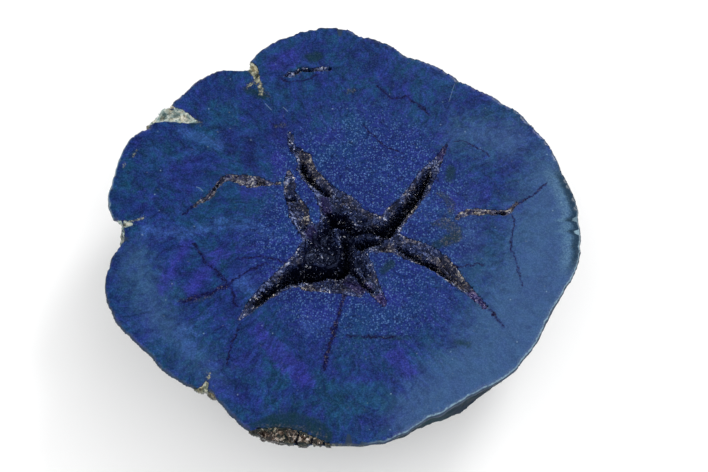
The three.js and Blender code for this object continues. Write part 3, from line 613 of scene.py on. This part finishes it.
    # hairline cracks with a violet stain on both sides, and scratches
    group = crackGroup()
    bend = noiseNode(tree, place, 0.8, 4, 0.65).outputs["Color"]
    bent = vectorCalc(tree, "ADD", flat, stretch(tree, vectorCalc(tree, "SUBTRACT", bend, (0.5, 0.5, 0.5)), 1.7))
    bent = vectorCalc(tree, "MULTIPLY", bent, (1, 1, 0))
    crackPart = cracksMask(tree, group, bent, darkCracks)
    crackPart = calc(tree, "MULTIPLY", crackPart, between(tree, fine, 0.3, 0.6, 0.6, 1))
    dark = between(tree, crackPart, 0.62, 0.9)
    colour = mixColour(tree, between(tree, crackPart, 0.0, 0.8, 0, 0.6), colour, look["crackHalo"])
    colour = mixColour(tree, calc(tree, "MULTIPLY", dark, 0.85), colour, look["crack"])
    grainyLine = cracksMask(tree, group, bent, grainyCracks)
    colour = mixColour(tree, between(tree, grainyLine, 0.0, 0.8, 0, 0.7), colour, look["crackHalo"])
    crumbColour = mixColour(tree, between(tree, speck, 0.56, 0.66), look["crack"], look["crackTan"])
    crumbPart = calc(tree, "MULTIPLY", between(tree, grainyLine, 0.5, 0.75), between(tree, fine, 0.4, 0.55, 0.2, 0.9))
    colour = mixColour(tree, crumbPart, colour, crumbColour)
    scratchPart = between(tree, cracksMask(tree, group, flat, scratches), 0.4, 0.8, 0, 0.34)
    colour = mixColour(tree, scratchPart, colour, look["scratch"])

    # the edge: a painted highlight on the chamfer on the right and in front, dark elsewhere; pale and dark bands on the
    # worn right rim; clay smeared beside the notches
    edgeLine = between(tree, calc(tree, "ADD", rimGap, calc(tree, "MULTIPLY", fine, 0.4)), 0.5, 0.3)
    paintedEdgeHighlight = calc(tree, "MULTIPLY", attributeNode(tree, "paintedRimHighlight"), between(tree, depth, 0.32, 0.12))
    paintedEdgeHighlight = calc(tree, "MULTIPLY", paintedEdgeHighlight, between(tree, speck, 0.3, 0.6, 0.5, 1.0))
    rimColour = mixColour(tree, paintedEdgeHighlight, look["rimDark"], look["rimHighlightColour"])
    wornPart = attributeNode(tree, "wornRim")
    wornPlace = calc(tree, "ADD", rimGap, calc(tree, "MULTIPLY", calc(tree, "SUBTRACT", middling, 0.5), 1.2))
    wornPale = calc(tree, "MULTIPLY", between(tree, wornPlace, 2.9, 1.5), between(tree, speck, 0.35, 0.65, 0.15, 0.6))
    colour = mixColour(tree, calc(tree, "MULTIPLY", wornPart, wornPale), colour, look["bandPale"])
    wornDark = calc(tree, "MULTIPLY", between(tree, wornPlace, 1.5, 0.6), wornPart)
    colour = mixColour(tree, calc(tree, "MULTIPLY", wornDark, 0.85), colour, look["rimDark"])
    colour = mixColour(tree, calc(tree, "MULTIPLY", edgeLine, 0.8), colour, rimColour)
    clayFace = frayed("clay", 1.0, fine, 3.0, 0.45, 0.85)
    clayColour = mixColour(tree, between(tree, speck, 0.42, 0.6), look["clayShade"], look["clayOnFace"])
    colour = mixColour(tree, calc(tree, "MULTIPLY", clayFace, 0.85), colour, clayColour)

    # the natural skin of the back: dusty blue, green-stained, clay left in the creases
    skin = attributeNode(tree, "skin")
    crease = attributeNode(tree, "crease")
    skinPatch = noiseNode(tree, place, 0.22, 5, 0.65, 0.8).outputs["Fac"]
    skinColour = mixColour(tree, between(tree, skinPatch, 0.42, 0.62), look["skinBlue"], look["skinTeal"])
    skinGrain = noiseNode(tree, place, 2.2, 5, 0.75).outputs["Fac"]
    skinColour = mixColour(tree, between(tree, skinGrain, 0.5, 0.75), skinColour, look["dark"])
    clayPart = calc(tree, "ADD", crease, calc(tree, "MULTIPLY", calc(tree, "SUBTRACT", skinGrain, 0.5), 0.5))
    clayPart = between(tree, clayPart, 0.02, 0.22)
    clayPart = calc(tree, "MULTIPLY", clayPart, between(tree, depth, 1.5, 5.0, 0.35, 0.8))
    skinColour = mixColour(tree, clayPart, skinColour, look["clay"])
    colour = mixColour(tree, skin, colour, skinColour)
    # the sunk walls of the hollows under the crusts are painted near black: the dark crust they stand for and painted
    # shade of the recess
    colour = mixColour(tree, attributeNode(tree, "hollowWallCrustAndShade"), colour, look["crack"])
    tree.links.new(colour, shader.inputs["Base Color"])

    gloss = between(tree, speck, 0.3, 0.7, look["roughness"] - 0.05, look["roughness"] + 0.08)
    gloss = calc(tree, "ADD", gloss, calc(tree, "MULTIPLY", skin, 0.7))
    gloss = calc(tree, "ADD", gloss, calc(tree, "MULTIPLY", edgeLine, 0.25))
    gloss = calc(tree, "ADD", gloss, calc(tree, "MULTIPLY", clayFace, 0.4))
    tree.links.new(gloss, shader.inputs["Roughness"])
    shader.inputs["Specular IOR Level"].default_value = look["specular"]
    pits = calc(tree, "SUBTRACT", calc(tree, "MULTIPLY", speck, 0.2), calc(tree, "MULTIPLY", dark, 0.15))
    height = calc(tree, "ADD", pits, calc(tree, "MULTIPLY", calc(tree, "MULTIPLY", skinGrain, skin), 3.0))
    addBump(tree, shader, height, 0.4, 0.06 * mm)
    return material


# how far the face reaches from the middle, for each of the directions round it
def outlineOf(points, bins=720):
    turn = (np.arctan2(points[:, 1], points[:, 0]) + math.pi) / (2 * math.pi) * bins
    face = points[:, 2] > faceZ - 0.5 * mm
    reach = np.zeros(bins)
    np.maximum.at(reach, turn[face].astype(int) % bins, np.hypot(points[face, 0], points[face, 1]))
    return reach


# how far each point lies inside that outline, in mm, measured towards the middle
def outlineGap(points, reach):
    turn = (np.arctan2(points[:, 1], points[:, 0]) + math.pi) / (2 * math.pi) * len(reach)
    edge = np.interp(turn, np.arange(len(reach)) + 0.5, reach, period=len(reach))
    return (edge - np.hypot(points[:, 0], points[:, 1])) / mm


def closeFace(mesh):
    """Takes the hollow and the veins off the copy and closes the face over them."""
    bm = bmesh.new()
    bm.from_mesh(mesh)
    face = [f for f in bm.faces if all(abs(v.co.z - faceZ) < 0.001 * mm for v in f.verts)]
    bmesh.ops.delete(bm, geom=face, context="FACES")
    lowest = min(bm.verts, key=lambda vert: vert.co.z)
    reached, front = {lowest}, [lowest]
    while front:
        front = [edge.other_vert(vert) for vert in front for edge in vert.link_edges]
        front = [vert for vert in dict.fromkeys(front) if vert not in reached]
        reached.update(front)
    bmesh.ops.delete(bm, geom=[v for v in bm.verts if v not in reached], context="VERTS")
    rim = [edge for edge in bm.edges if edge.is_boundary]
    middle = Vector((0, 0, faceZ))
    farthest = max((vert for edge in rim for vert in edge.verts), key=lambda vert: (vert.co - middle).length)
    loop, front = {farthest}, [farthest]
    while front:
        front = [edge.other_vert(vert) for vert in front for edge in vert.link_edges if edge.is_boundary]
        front = [vert for vert in dict.fromkeys(front) if vert not in loop]
        loop.update(front)
    bmesh.ops.holes_fill(bm, edges=[edge for edge in rim if edge.verts[0] in loop], sides=0)
    bm.to_mesh(mesh)
    bm.free()


# carries the nodule's blue over the notches' rock: a slab of each filling, joined before the remesh
def joinShelves(mesh):
    bm = bmesh.new()
    bm.from_mesh(mesh)
    for nodeName, filling in fillings.items():
        slab = bpy.data.meshes.new("slab")
        body = swollenBody(nodeName)
        body.to_mesh(slab)
        body.free()
        points = pointsOf(slab)
        height = points[:, 2] - faceZ
        flat = height > -1.4 * mm
        points[:, 2] = faceZ + np.where(flat, 0, np.maximum(height, -filling["shelf"] * mm))
        setPoints(slab, points)
        bm.from_mesh(slab)
    bm.to_mesh(mesh)
    bm.free()


def swollenBody(nodeName):
    filling = fillings[nodeName]
    bm = bmesh.new()
    bm.from_mesh(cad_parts[nodeName].data)
    bmesh.ops.remove_doubles(bm, verts=bm.verts, dist=0.001 * mm)
    low = Vector(min(vert.co[axis] for vert in bm.verts) for axis in range(3))
    high = Vector(max(vert.co[axis] for vert in bm.verts) for axis in range(3))
    middle = (low + high) / 2
    bmesh.ops.translate(bm, vec=-middle, verts=bm.verts)
    bmesh.ops.scale(bm, vec=(*filling["swell"], 1), verts=bm.verts)
    bmesh.ops.translate(bm, vec=middle + Vector((*filling["inwards"], 0)) * mm, verts=bm.verts)
    return bm


def sinkHollows(points, polished):
    """Sinks the face inside the hollow and the veins to just under their crusts."""
    plan = points[:, :2] / mm
    step = 0.05
    for shape in (hollow, leftVein, rightVein, topFissure, *fillings.values()):
        field = np.full(len(points), 99.0)
        near = polished & (strokesField(plan, shape["arms"]) < 1)
        field[near] = raggedField(plan[near], shape["arms"], 0.16)
        edge = np.flatnonzero(np.abs(field) < 0.15)
        slope = np.column_stack([
            strokesField(plan[edge] + shift, shape["arms"]) - strokesField(plan[edge] - shift, shape["arms"])
            for shift in ((step, 0), (0, step))
        ]) / (2 * step)
        points[edge, :2] -= slope * field[edge, None] * mm
        sunk = np.flatnonzero(field < -0.15)
        points[sunk, 2] -= (crustDepth(plan[sunk], shape, field[sunk]) + 0.7) * mm
        polished[sunk] = False


def makeStone():
    look = stoneLook
    piece = copyOfNode("azurite_nodule", "polished_half_nodule")
    closeFace(piece.data)
    joinShelves(piece.data)
    evenSkin(piece, look["voxel"])
    mesh = piece.data
    points, normals = pointsOf(mesh), normalsOf(mesh)
    depth = (faceZ - points[:, 2]) / mm
    polished = (depth < 0.13) & (normals[:, 2] > 0.75)
    points[polished, 2] = faceZ

    # the natural back is pitted, the rim a little chipped; both only lose material
    sideways = np.clip(np.hypot(normals[:, 0], normals[:, 1]) * 1.6, 0, 1)
    rough = smoothStep(depth, 0.3, 1.8)
    resting = smoothStep(points[:, 2] / mm, 0.0, 0.6)
    coarse = noiseAt(points, look["coarseWave"], 3, 1) * 0.5 + 0.5
    fine = noiseAt(points, look["fineWave"], 3, 2) * 0.5 + 0.5
    wear = noiseAt(points, look["rimWave"], 3, 3) * 0.5 + 0.5
    sunk = rough * resting * (look["coarseDepth"] * coarse + look["fineDepth"] * fine)
    sunk += (1 - rough) * sideways * look["rimWear"] * np.clip(wear, 0, 1)
    sunk[polished] = 0
    points -= normals * np.clip(sunk, 0, None)[:, None] * mm
    rimGap = outlineGap(points, outlineOf(points))
    spread = np.hypot(points[:, 0], points[:, 1])
    chips = noiseAt(points * (1, 1, 0.3), look["chipWave"], 4, 6)
    chips = look["chip"] * np.clip(chips + 0.2, 0, 1) * smoothStep(-rimGap, -look["chipReach"], 0) * smoothStep(-depth, -6, -1)
    points[:, :2] *= (1 - chips * mm / np.maximum(spread, mm))[:, None]
    points[:, 2] = np.clip(points[:, 2], 0, faceZ)
    top = polished.copy()
    sinkHollows(points, polished)
    setPoints(mesh, points)
    setAttribute(mesh, "hollowWallCrustAndShade", (top & ~polished).astype(float))

    plan = points[:, :2] / mm
    for name, (fade, strokes) in faceZones.items():
        setAttribute(mesh, name, smoothStep(-strokesField(plan, strokes), -fade, fade * 0.2))
    toward = plan / np.maximum(np.linalg.norm(plan, axis=1), 0.1)[:, None]
    # painted highlight: the chamfer is painted pale where the light catches it, on the right and in front and faintly
    # on the left, varied by the rim's wear noise
    paintedRimHighlight = smoothStep(toward @ (0.78, -0.62), 0.66, 0.84) + smoothStep(toward @ (-0.97, 0.22), 0.96, 0.99) * 0.6
    setAttribute(mesh, "paintedRimHighlight", np.clip(paintedRimHighlight * (0.7 + 0.8 * wear), 0, 1))
    setAttribute(mesh, "wornRim", smoothStep(toward @ (0.999, 0.035), 0.955, 0.985))
    setAttribute(mesh, "rimGap", outlineGap(points, outlineOf(points)))
    setAttribute(mesh, "skin", smoothStep(depth + 0.8 * wear, 0.9, 2.0) * ~top)
    setAttribute(mesh, "crease", creaseOf(mesh, 14))
    smoothShaded(mesh)
    mesh.set_sharp_from_angle(angle=math.radians(38))
    mesh.materials.append(stoneMaterial())
    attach(piece, "root")
    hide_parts("azurite_nodule")
    print("half nodule:", len(mesh.polygons), "faces")
    return piece


stone = makeStone()


# crusts of small crystals

def crystalShapes():
    """A few small crystals, one unit across, that the crusts are grown from."""
    shelf = bpy.data.collections.new("crystal shapes")
    forms = {"blade": (6, 0.3, 0.1, (1, 0.55, 1)), "rhomb": (4, 0.42, 0.12, (1, 0.8, 0.9)), "needle": (5, 0.26, 0.05, (1, 0.8, 1.1))}
    for name, (sides, wide, narrow, scale) in forms.items():
        bm = bmesh.new()
        bmesh.ops.create_cone(bm, cap_ends=True, segments=sides, radius1=wide, radius2=narrow, depth=1)
        bmesh.ops.scale(bm, vec=scale, verts=bm.verts)
        bmesh.ops.triangulate(bm, faces=bm.faces)
        mesh = bpy.data.meshes.new(name)
        bm.to_mesh(mesh)
        bm.free()
        shelf.objects.link(bpy.data.objects.new(name, mesh))
    return shelf


def crystalGrowth(name, shapes, look, keepBed=True):
    """Node group that strews crystals over a bed where its attribute open says so."""
    tree = bpy.data.node_groups.new(name, "GeometryNodeTree")
    tree.interface.new_socket("Geometry", in_out="INPUT", socket_type="NodeSocketGeometry")
    tree.interface.new_socket("Geometry", in_out="OUTPUT", socket_type="NodeSocketGeometry")
    bed = addNode(tree, "NodeGroupInput").outputs[0]
    openPart = addNode(tree, "GeometryNodeInputNamedAttribute", {"Name": "open"}, data_type="FLOAT")
    strewn = addNode(tree, "GeometryNodeDistributePointsOnFaces", {
        "Mesh": bed, "Distance Min": look["spacing"], "Density Max": look["density"],
        "Density Factor": openPart.outputs[0], "Seed": look["seed"],
    }, distribute_method="POISSON")

    def randomVector(low, high, seed):
        made = addNode(tree, "FunctionNodeRandomValue", {0: low, 1: high, "Seed": seed}, data_type="FLOAT_VECTOR")
        return made.outputs[0]

    tone = addNode(tree, "FunctionNodeRandomValue", {2: 0.0, 3: 1.0, "Seed": 5}, data_type="FLOAT").outputs[1]
    marked = addNode(tree, "GeometryNodeStoreNamedAttribute", {
        "Geometry": strewn.outputs["Points"], "Name": "tone", "Value": tone,
    }, data_type="FLOAT", domain="POINT")
    lean = addNode(tree, "ShaderNodeVectorMath", {
        0: strewn.outputs["Normal"], 1: randomVector((-0.8,) * 3, (0.8,) * 3, 6),
    }, operation="ADD").outputs[0]
    upright = addNode(tree, "FunctionNodeAlignRotationToVector", {"Vector": lean}, axis="Z")
    spin = randomVector((0, 0, 0), (0, 0, math.tau), 7)
    turned = addNode(tree, "FunctionNodeRotateRotation", {
        "Rotation": upright.outputs[0], "Rotate By": spin,
    }, rotation_space="LOCAL")
    low, high = look["size"]
    thick = addNode(tree, "FunctionNodeRandomValue", {2: low, 3: high, "Seed": 8}, data_type="FLOAT").outputs[1]
    size = addNode(tree, "ShaderNodeVectorMath", {
        0: randomVector((0.8, 0.8, 0.7), (1.2, 1.2, 1.5), 9), "Scale": thick,
    }, operation="SCALE").outputs[0]
    shelf = addNode(tree, "GeometryNodeCollectionInfo", {
        "Collection": shapes, "Separate Children": True, "Reset Children": True,
    })
    placed = addNode(tree, "GeometryNodeInstanceOnPoints", {
        "Points": marked.outputs[0], "Instance": shelf.outputs[0], "Pick Instance": True,
        "Rotation": turned.outputs[0], "Scale": size,
    })
    real = addNode(tree, "GeometryNodeRealizeInstances", {"Geometry": placed.outputs[0]}).outputs[0]
    if keepBed:
        joined = addNode(tree, "GeometryNodeJoinGeometry")
        tree.links.new(bed, joined.inputs[0])
        tree.links.new(real, joined.inputs[0])
        real = joined.outputs[0]
    addNode(tree, "NodeGroupOutput", {0: real})
    return tree


purpleStops = [(0.1, paint(22, 14, 56)), (0.5, paint(48, 38, 96)), (0.8, paint(92, 78, 130)), (1.0, paint(170, 156, 190))]


def crystalMaterial(name, coolStops, warmStops, deepCrystalAndShadeColour, grain=4.6, sheenTint=(1, 1, 1, 1)):
    material, tree, shader, place = newMaterial(name)
    height = addNode(tree, "ShaderNodeSeparateXYZ", {0: place}).outputs["Z"]
    depth = calc(tree, "SUBTRACT", faceZ / mm, height)
    patch = noiseNode(tree, place, 0.55, 4, 0.6).outputs["Fac"]
    spotty = addNode(tree, "ShaderNodeSeparateColor", {0: cells(tree, place, grain).outputs["Color"]}).outputs
    tone = calc(tree, "ADD", calc(tree, "MULTIPLY", attributeNode(tree, "tone"), 0.45), calc(tree, "MULTIPLY", spotty[0], 0.55))
    tone = calc(tree, "ADD", tone, calc(tree, "MULTIPLY", calc(tree, "SUBTRACT", patch, 0.5), 0.8))
    # a little lighter near the face level: partly pale mineral grains at the crust's top, partly painted light where it
    # catches more of it
    tone = calc(tree, "ADD", tone, between(tree, depth, 0.45, 0.1, 0.0, 0.12))
    tone = calc(tree, "SUBTRACT", calc(tree, "MULTIPLY", tone, 1.22), 0.16)
    warmth = noiseNode(tree, place, 0.8, 3, 0.6).outputs["Fac"]
    warmth = calc(tree, "ADD", warmth, calc(tree, "MULTIPLY", attributeNode(tree, "warm"), 0.35))
    colour = mixColour(tree, between(tree, warmth, 0.45, 0.68), ramp(tree, tone, coolStops), ramp(tree, tone, warmStops))
    purple = calc(tree, "ADD", attributeNode(tree, "purple"), calc(tree, "SUBTRACT", patch, 0.5))
    colour = mixColour(tree, between(tree, purple, 0.25, 0.8, 0, 0.75), colour, ramp(tree, tone, purpleStops))
    # painted shade: deeper below the face the crystals turn to the deep colour, partly darker crystals there and partly
    # painted shade of the recess; glint spares the brightest crystals as painted glints
    glint = calc(tree, "MULTIPLY", between(tree, tone, 0.66, 0.9), between(tree, depth, 5.0, 2.4, 0.1, 0.8))
    deep = calc(tree, "MULTIPLY", between(tree, depth, 0.45, 1.9), calc(tree, "SUBTRACT", 0.97, glint))
    colour = mixColour(tree, deep, colour, deepCrystalAndShadeColour)
    fine = noiseNode(tree, place, 6, 3, 0.7).outputs["Fac"]
    colour = mixColour(tree, 1.0, colour, greyTone(tree, between(tree, fine, 0.3, 0.7, 0.7, 1.3)), "MULTIPLY")
    tree.links.new(colour, shader.inputs["Base Color"])
    shader.inputs["Roughness"].default_value = 0.22
    shader.inputs["Specular IOR Level"].default_value = 0.3
    shader.inputs["Specular Tint"].default_value = sheenTint
    addBump(tree, shader, fine, 0.3, 0.03 * mm)
    return material


# a thin crust, closed all round, whose top follows crustDepth and whose rim is tucked under the face
def reliefBed(pieceName, shape, look, within=None):
    nodes = np.array([point for line in shape["arms"] for point in line])
    low = nodes[:, :2].min(axis=0) - 2
    high = nodes[:, :2].max(axis=0) + 2
    counts = np.ceil((high - low) / look["grid"]).astype(int)
    across, along = (np.linspace(low[axis], high[axis], counts[axis] + 1) for axis in (0, 1))
    plan = np.stack(np.meshgrid(across, along), axis=-1).reshape(-1, 2)
    outside = raggedField(plan, shape["arms"], 0.16) > look["tuck"]
    if within is not None:
        outside |= within(plan)

    # the squares inside, doubled as a floor below, and a wall along each edge that only one square has
    spots = np.arange(len(plan)).reshape(len(along), len(across))
    squares = np.stack((spots[:-1, :-1], spots[:-1, 1:], spots[1:, 1:], spots[1:, :-1]), axis=-1).reshape(-1, 4)
    used, squares = np.unique(squares[~outside[squares].any(axis=1)], return_inverse=True)
    squares = squares.reshape(-1, 4)
    edges = list(zip(squares.ravel().tolist(), np.roll(squares, -1, axis=1).ravel().tolist()))
    known = set(edges)
    count = len(used)
    walls = [(b, a, a + count, b + count) for a, b in edges if (b, a) not in known]
    top = np.column_stack((plan[used], np.zeros(count)))
    corners = np.concatenate((top, top - (0, 0, 1)))
    mesh = bpy.data.meshes.new(pieceName)
    mesh.from_pydata(corners.tolist(), [], squares.tolist() + (squares[:, ::-1] + count).tolist() + walls)

    points = pointsOf(mesh)
    isTop = points[:, 2] > -0.5
    field = raggedField(points[:, :2], shape["arms"], 0.16)
    depth = crustDepth(points[:, :2], shape, field) + 0.25 * smoothStep(field, -0.05, 0.15)
    points[:, 2] = -depth - np.where(isTop, 0, crustThickness)
    setPoints(mesh, points * mm + (0, 0, faceZ))
    setAttribute(mesh, "open", (isTop & (field < 0.06)).astype(float))
    for name in ("warm", "purple"):
        setAttribute(mesh, name, smoothStep(-strokesField(points[:, :2], shape.get(name, [])), -0.6, 0.3))
    if shape["centreDepth"]:
        cold = smoothStep(-np.linalg.norm(points[:, :2] - shape["centre"], axis=1), -6, -2)
        setAttribute(mesh, "warm", smoothStep(-strokesField(points[:, :2], shape["warm"]), -0.6, 0.3) - 0.6 * cold)
    piece = bpy.data.objects.new(pieceName, mesh)
    bpy.context.scene.collection.objects.link(piece)
    return piece


# grows the crystals on a bed, hands the piece over and keeps it under the face
def finishGrown(piece, nodeName, crystals, look, material):
    mesh = piece.data
    setAttribute(mesh, "tone", 0.3 + 0.4 * noiseAt(pointsOf(mesh), 0.8 * mm, 2, 4))
    smoothShaded(mesh)
    growth = piece.modifiers.new("crystals", "NODES")
    growth.node_group = crystalGrowth(piece.name + " growth", crystals, look)
    applyModifiers(piece)
    mesh = piece.data
    points = pointsOf(mesh)
    points[:, 2] = np.minimum(points[:, 2], faceZ - 0.02 * mm)
    points[:, 1] = np.maximum(points[:, 1], cadBox[0].y + 0.02 * mm)
    setPoints(mesh, points)
    mesh.materials.clear()
    mesh.materials.append(material)
    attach(piece, "root")
    if nodeName:
        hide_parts(nodeName)
    print(piece.name, len(mesh.polygons), "faces")


crustLook = {
    "grid": 0.17, "tuck": 0.3,
    "spacing": 0.19 * mm, "density": 3e7, "size": (0.2 * mm, 0.42 * mm), "seed": 3,
}
veinLook = {
    **crustLook, "grid": 0.12, "tuck": 0.2,
    "spacing": 0.16 * mm, "density": 4e7, "size": (0.18 * mm, 0.34 * mm), "seed": 9,
}

shapes = crystalShapes()
# the near-white top of these ramps is partly pale grains, partly painted glints
druseMaterial = crystalMaterial("dark azurite druse", [
    (0.12, paint(4, 5, 22)), (0.42, paint(24, 34, 74)), (0.64, paint(64, 78, 124)), (0.84, paint(134, 146, 186)), (1.0, paint(232, 234, 244)),
], [
    (0.12, paint(8, 8, 20)), (0.42, paint(40, 38, 56)), (0.64, paint(96, 92, 98)), (0.84, paint(156, 150, 144)), (1.0, paint(232, 226, 212)),
], paint(5, 8, 28), sheenTint=(0.4, 0.52, 1, 1))
veinMaterial = crystalMaterial("tan vein grains", [
    (0.12, paint(8, 10, 34)), (0.42, paint(32, 38, 80)), (0.64, paint(72, 76, 108)), (0.85, paint(132, 132, 148)), (1.0, paint(212, 210, 208)),
], [
    (0.12, paint(12, 10, 26)), (0.42, paint(46, 42, 60)), (0.64, paint(98, 92, 92)), (0.85, paint(150, 142, 128)), (1.0, paint(216, 208, 190)),
], paint(8, 8, 20))

for nodeName, pieceName, slotName, shape, look, material in (
    ("cavity_druse", "star_hollow_crystals", "druse", hollow, crustLook, druseMaterial),
    ("vein_druse_left", "left_vein_crystals", "vein_fill", leftVein, veinLook, veinMaterial),
    ("vein_druse_right", "right_vein_crystals", "vein_fill", rightVein, veinLook, veinMaterial),
    (None, "top_fissure_crystals", "vein_fill", topFissure, veinLook, druseMaterial),
):
    finishGrown(reliefBed(pieceName, shape, look), nodeName, shapes, look, material)


# host rock in the notches and the rusty patch at the front

rockLook = {
    "voxel": 0.22 * mm, "belowFace": 1.0, "grid": 0.12, "tuck": 0.2, "overRim": 0.12,
    "sinkWave": 3.2 * mm, "sink": 2.6 * mm,  # how far the rock hides in the back, so that its outline is ragged
    "lumpWave": 1.3 * mm, "lumps": 0.3 * mm, "crumbWave": 0.5 * mm, "crumbs": 0.14 * mm,
    "spacing": 0.22 * mm, "density": 2.4e7, "size": (0.12 * mm, 0.28 * mm), "seed": 11,
}
rustLook = {**rockLook, "sink": 0.5 * mm, "spacing": 0.16 * mm, "density": 4.4e7, "size": (0.14 * mm, 0.32 * mm), "seed": 15}

paleRock = crystalMaterial("pale host rock", [
    (0.1, paint(104, 130, 132)), (0.45, paint(168, 188, 184)), (0.75, paint(210, 216, 206)), (1.0, paint(236, 240, 234)),
], [
    (0.1, paint(120, 116, 96)), (0.45, paint(184, 180, 158)), (0.75, paint(218, 214, 198)), (1.0, paint(240, 238, 226)),
], paint(86, 90, 78), 3.0)
tanRock = crystalMaterial("tan host rock", [
    (0.1, paint(46, 60, 58)), (0.45, paint(112, 120, 104)), (0.75, paint(162, 166, 146)), (1.0, paint(216, 216, 196)),
], [
    (0.1, paint(70, 62, 44)), (0.45, paint(136, 124, 92)), (0.75, paint(184, 174, 140)), (1.0, paint(226, 220, 196)),
], paint(52, 52, 40), 3.4)
rustMaterial = crystalMaterial("rusty crust", [
    (0.12, paint(6, 18, 22)), (0.42, paint(20, 38, 40)), (0.66, paint(56, 60, 52)), (0.86, paint(126, 118, 100)), (1.0, paint(206, 200, 188)),
], [
    (0.12, paint(12, 8, 8)), (0.42, paint(44, 32, 28)), (0.64, paint(96, 78, 66)), (0.84, paint(160, 144, 132)), (1.0, paint(240, 234, 228)),
], paint(32, 24, 20), 4.2)


# how far the nodule's face reaches, for each direction round its middle
outline = outlineOf(pointsOf(stone.data))


def pastRim(plan):
    return outlineGap(plan * mm, outline) < -rockLook["overRim"]


# the swollen body, hidden under the face but seen from the side, with the bed that breaks the face on top
def makeFilling(nodeName, pieceName, slotName, look, material, crystals):
    filling = fillings[nodeName]
    body = bpy.data.objects.new(pieceName + " body", bpy.data.meshes.new(pieceName))
    bpy.context.scene.collection.objects.link(body)
    bm = swollenBody(nodeName)
    bm.to_mesh(body.data)
    bm.free()
    evenSkin(body, look["voxel"])
    mesh = body.data
    points, normals = pointsOf(mesh), normalsOf(mesh)
    rough = look["lumps"] * noiseAt(points, look["lumpWave"], 3, 12) + look["crumbs"] * noiseAt(points, look["crumbWave"], 3, 13)
    points += normals * rough[:, None]
    below = smoothStep((faceZ - points[:, 2]) / mm, 1.2, 3.0)
    sunk = np.clip(look["sink"] * (noiseAt(points, look["sinkWave"], 3, 17) + 0.45), 0, None) * below
    points[:, :2] *= (1 - sunk / np.linalg.norm(points[:, :2], axis=1))[:, None]
    points[:, 2] = np.clip(points[:, 2], 0, faceZ - look["belowFace"] * mm)
    setPoints(mesh, points)
    for name, values in (("open", (normals[:, 2] < 0.5) * 0.25), ("warm", np.full(len(points), 0.3)), ("purple", points[:, 0] * 0)):
        setAttribute(mesh, name, values)
    piece = reliefBed(pieceName, filling, look, pastRim)
    warm = smoothStep(-strokesField(pointsOf(piece.data)[:, :2] / mm, filling["arms"]), -0.1, 0.5) * 0.8 - 0.4
    setAttribute(piece.data, "warm", warm if slotName == "rust" else warm * 0.5)
    bm = bmesh.new()
    bm.from_mesh(piece.data)
    bm.from_mesh(mesh)
    bm.to_mesh(piece.data)
    bm.free()
    bpy.data.objects.remove(body)
    finishGrown(piece, nodeName, crystals, look, material)


for nodeName, pieceName, slotName, look, material in (
    ("matrix_upper_left_notch", "host_rock_upper_left", "host_rock", rockLook, paleRock),
    ("matrix_top_notch", "host_rock_top", "host_rock", rockLook, tanRock),
    ("matrix_left_notch", "host_rock_left", "host_rock", rockLook, paleRock),
    ("matrix_lower_left_notch", "host_rock_lower_left", "host_rock", rockLook, tanRock),
    ("rusty_patch_front", "rusty_crust_front", "rust", rustLook, rustMaterial),
):
    makeFilling(nodeName, pieceName, slotName, look, material, shapes)


# floor, lights and camera

studio = {
    "floorSize": 6.0, "tentStrength": 1.35,
    "darkDirection": (-0.14, 0.40, 0.905), "darkInner": math.radians(14), "darkOuter": math.radians(27),
    "darkStrength": 0.03,
    "keyPlace": (0.45, 0.62, 0.62), "keySize": 0.3, "keyPower": 3.0,
    "lens": 100, "elevation": math.radians(66),
    "target": Vector((1.25, -1.4, 17)) * mm, "distance": 246.35 * mm,
}


def areaLight(name, place, size, power):
    light = bpy.data.lights.new(name, "AREA")
    light.shape = "DISK"
    light.size = size
    light.energy = power
    lamp = bpy.data.objects.new(name, light)
    lamp.location = place
    lamp.rotation_euler = (-Vector(place)).to_track_quat("-Z", "Y").to_euler()
    bpy.context.scene.collection.objects.link(lamp)
    return lamp


def makeStudio():
    bm = bmesh.new()
    bmesh.ops.create_grid(bm, x_segments=1, y_segments=1, size=studio["floorSize"] / 2)
    mesh = bpy.data.meshes.new("floor")
    bm.to_mesh(mesh)
    bm.free()
    floor = bpy.data.objects.new("floor", mesh)
    bpy.context.scene.collection.objects.link(floor)
    material = bpy.data.materials.new("white floor")
    material.use_nodes = True
    shader = material.node_tree.nodes["Principled BSDF"]
    shader.inputs["Base Color"].default_value = (0.92, 0.92, 0.92, 1)
    shader.inputs["Roughness"].default_value = 0.9
    mesh.materials.append(material)

    # a white tent all round, dark only where the polished face would mirror it into the lens
    world = bpy.data.worlds.new("white tent")
    world.use_nodes = True
    tree = world.node_tree
    toward = vectorCalc(tree, "NORMALIZE", addNode(tree, "ShaderNodeTexCoord").outputs["Generated"])
    middle = Vector(studio["darkDirection"]).normalized()
    closeness = vectorCalc(tree, "DOT_PRODUCT", toward, tuple(middle))
    strength = between(tree, closeness, math.cos(studio["darkOuter"]), math.cos(studio["darkInner"]),
                       studio["tentStrength"], studio["darkStrength"])
    background = tree.nodes["Background"]
    background.inputs["Color"].default_value = (1, 1, 1, 1)
    tree.links.new(strength, background.inputs["Strength"])
    bpy.context.scene.world = world
    areaLight("key", studio["keyPlace"], studio["keySize"], studio["keyPower"])

    lens = bpy.data.cameras.new("camera")
    lens.lens = studio["lens"]
    lens.sensor_width = 36
    lens.clip_start = 0.01
    camera = bpy.data.objects.new("camera", lens)
    rise = studio["elevation"]
    camera.location = studio["target"] + Vector((0, -math.cos(rise), math.sin(rise))) * studio["distance"]
    camera.rotation_euler = (math.pi / 2 - rise, 0, 0)
    bpy.context.scene.collection.objects.link(camera)
    bpy.context.scene.camera = camera
    bpy.context.scene.view_settings.view_transform = "Standard"


makeStudio()
print("studio ready")
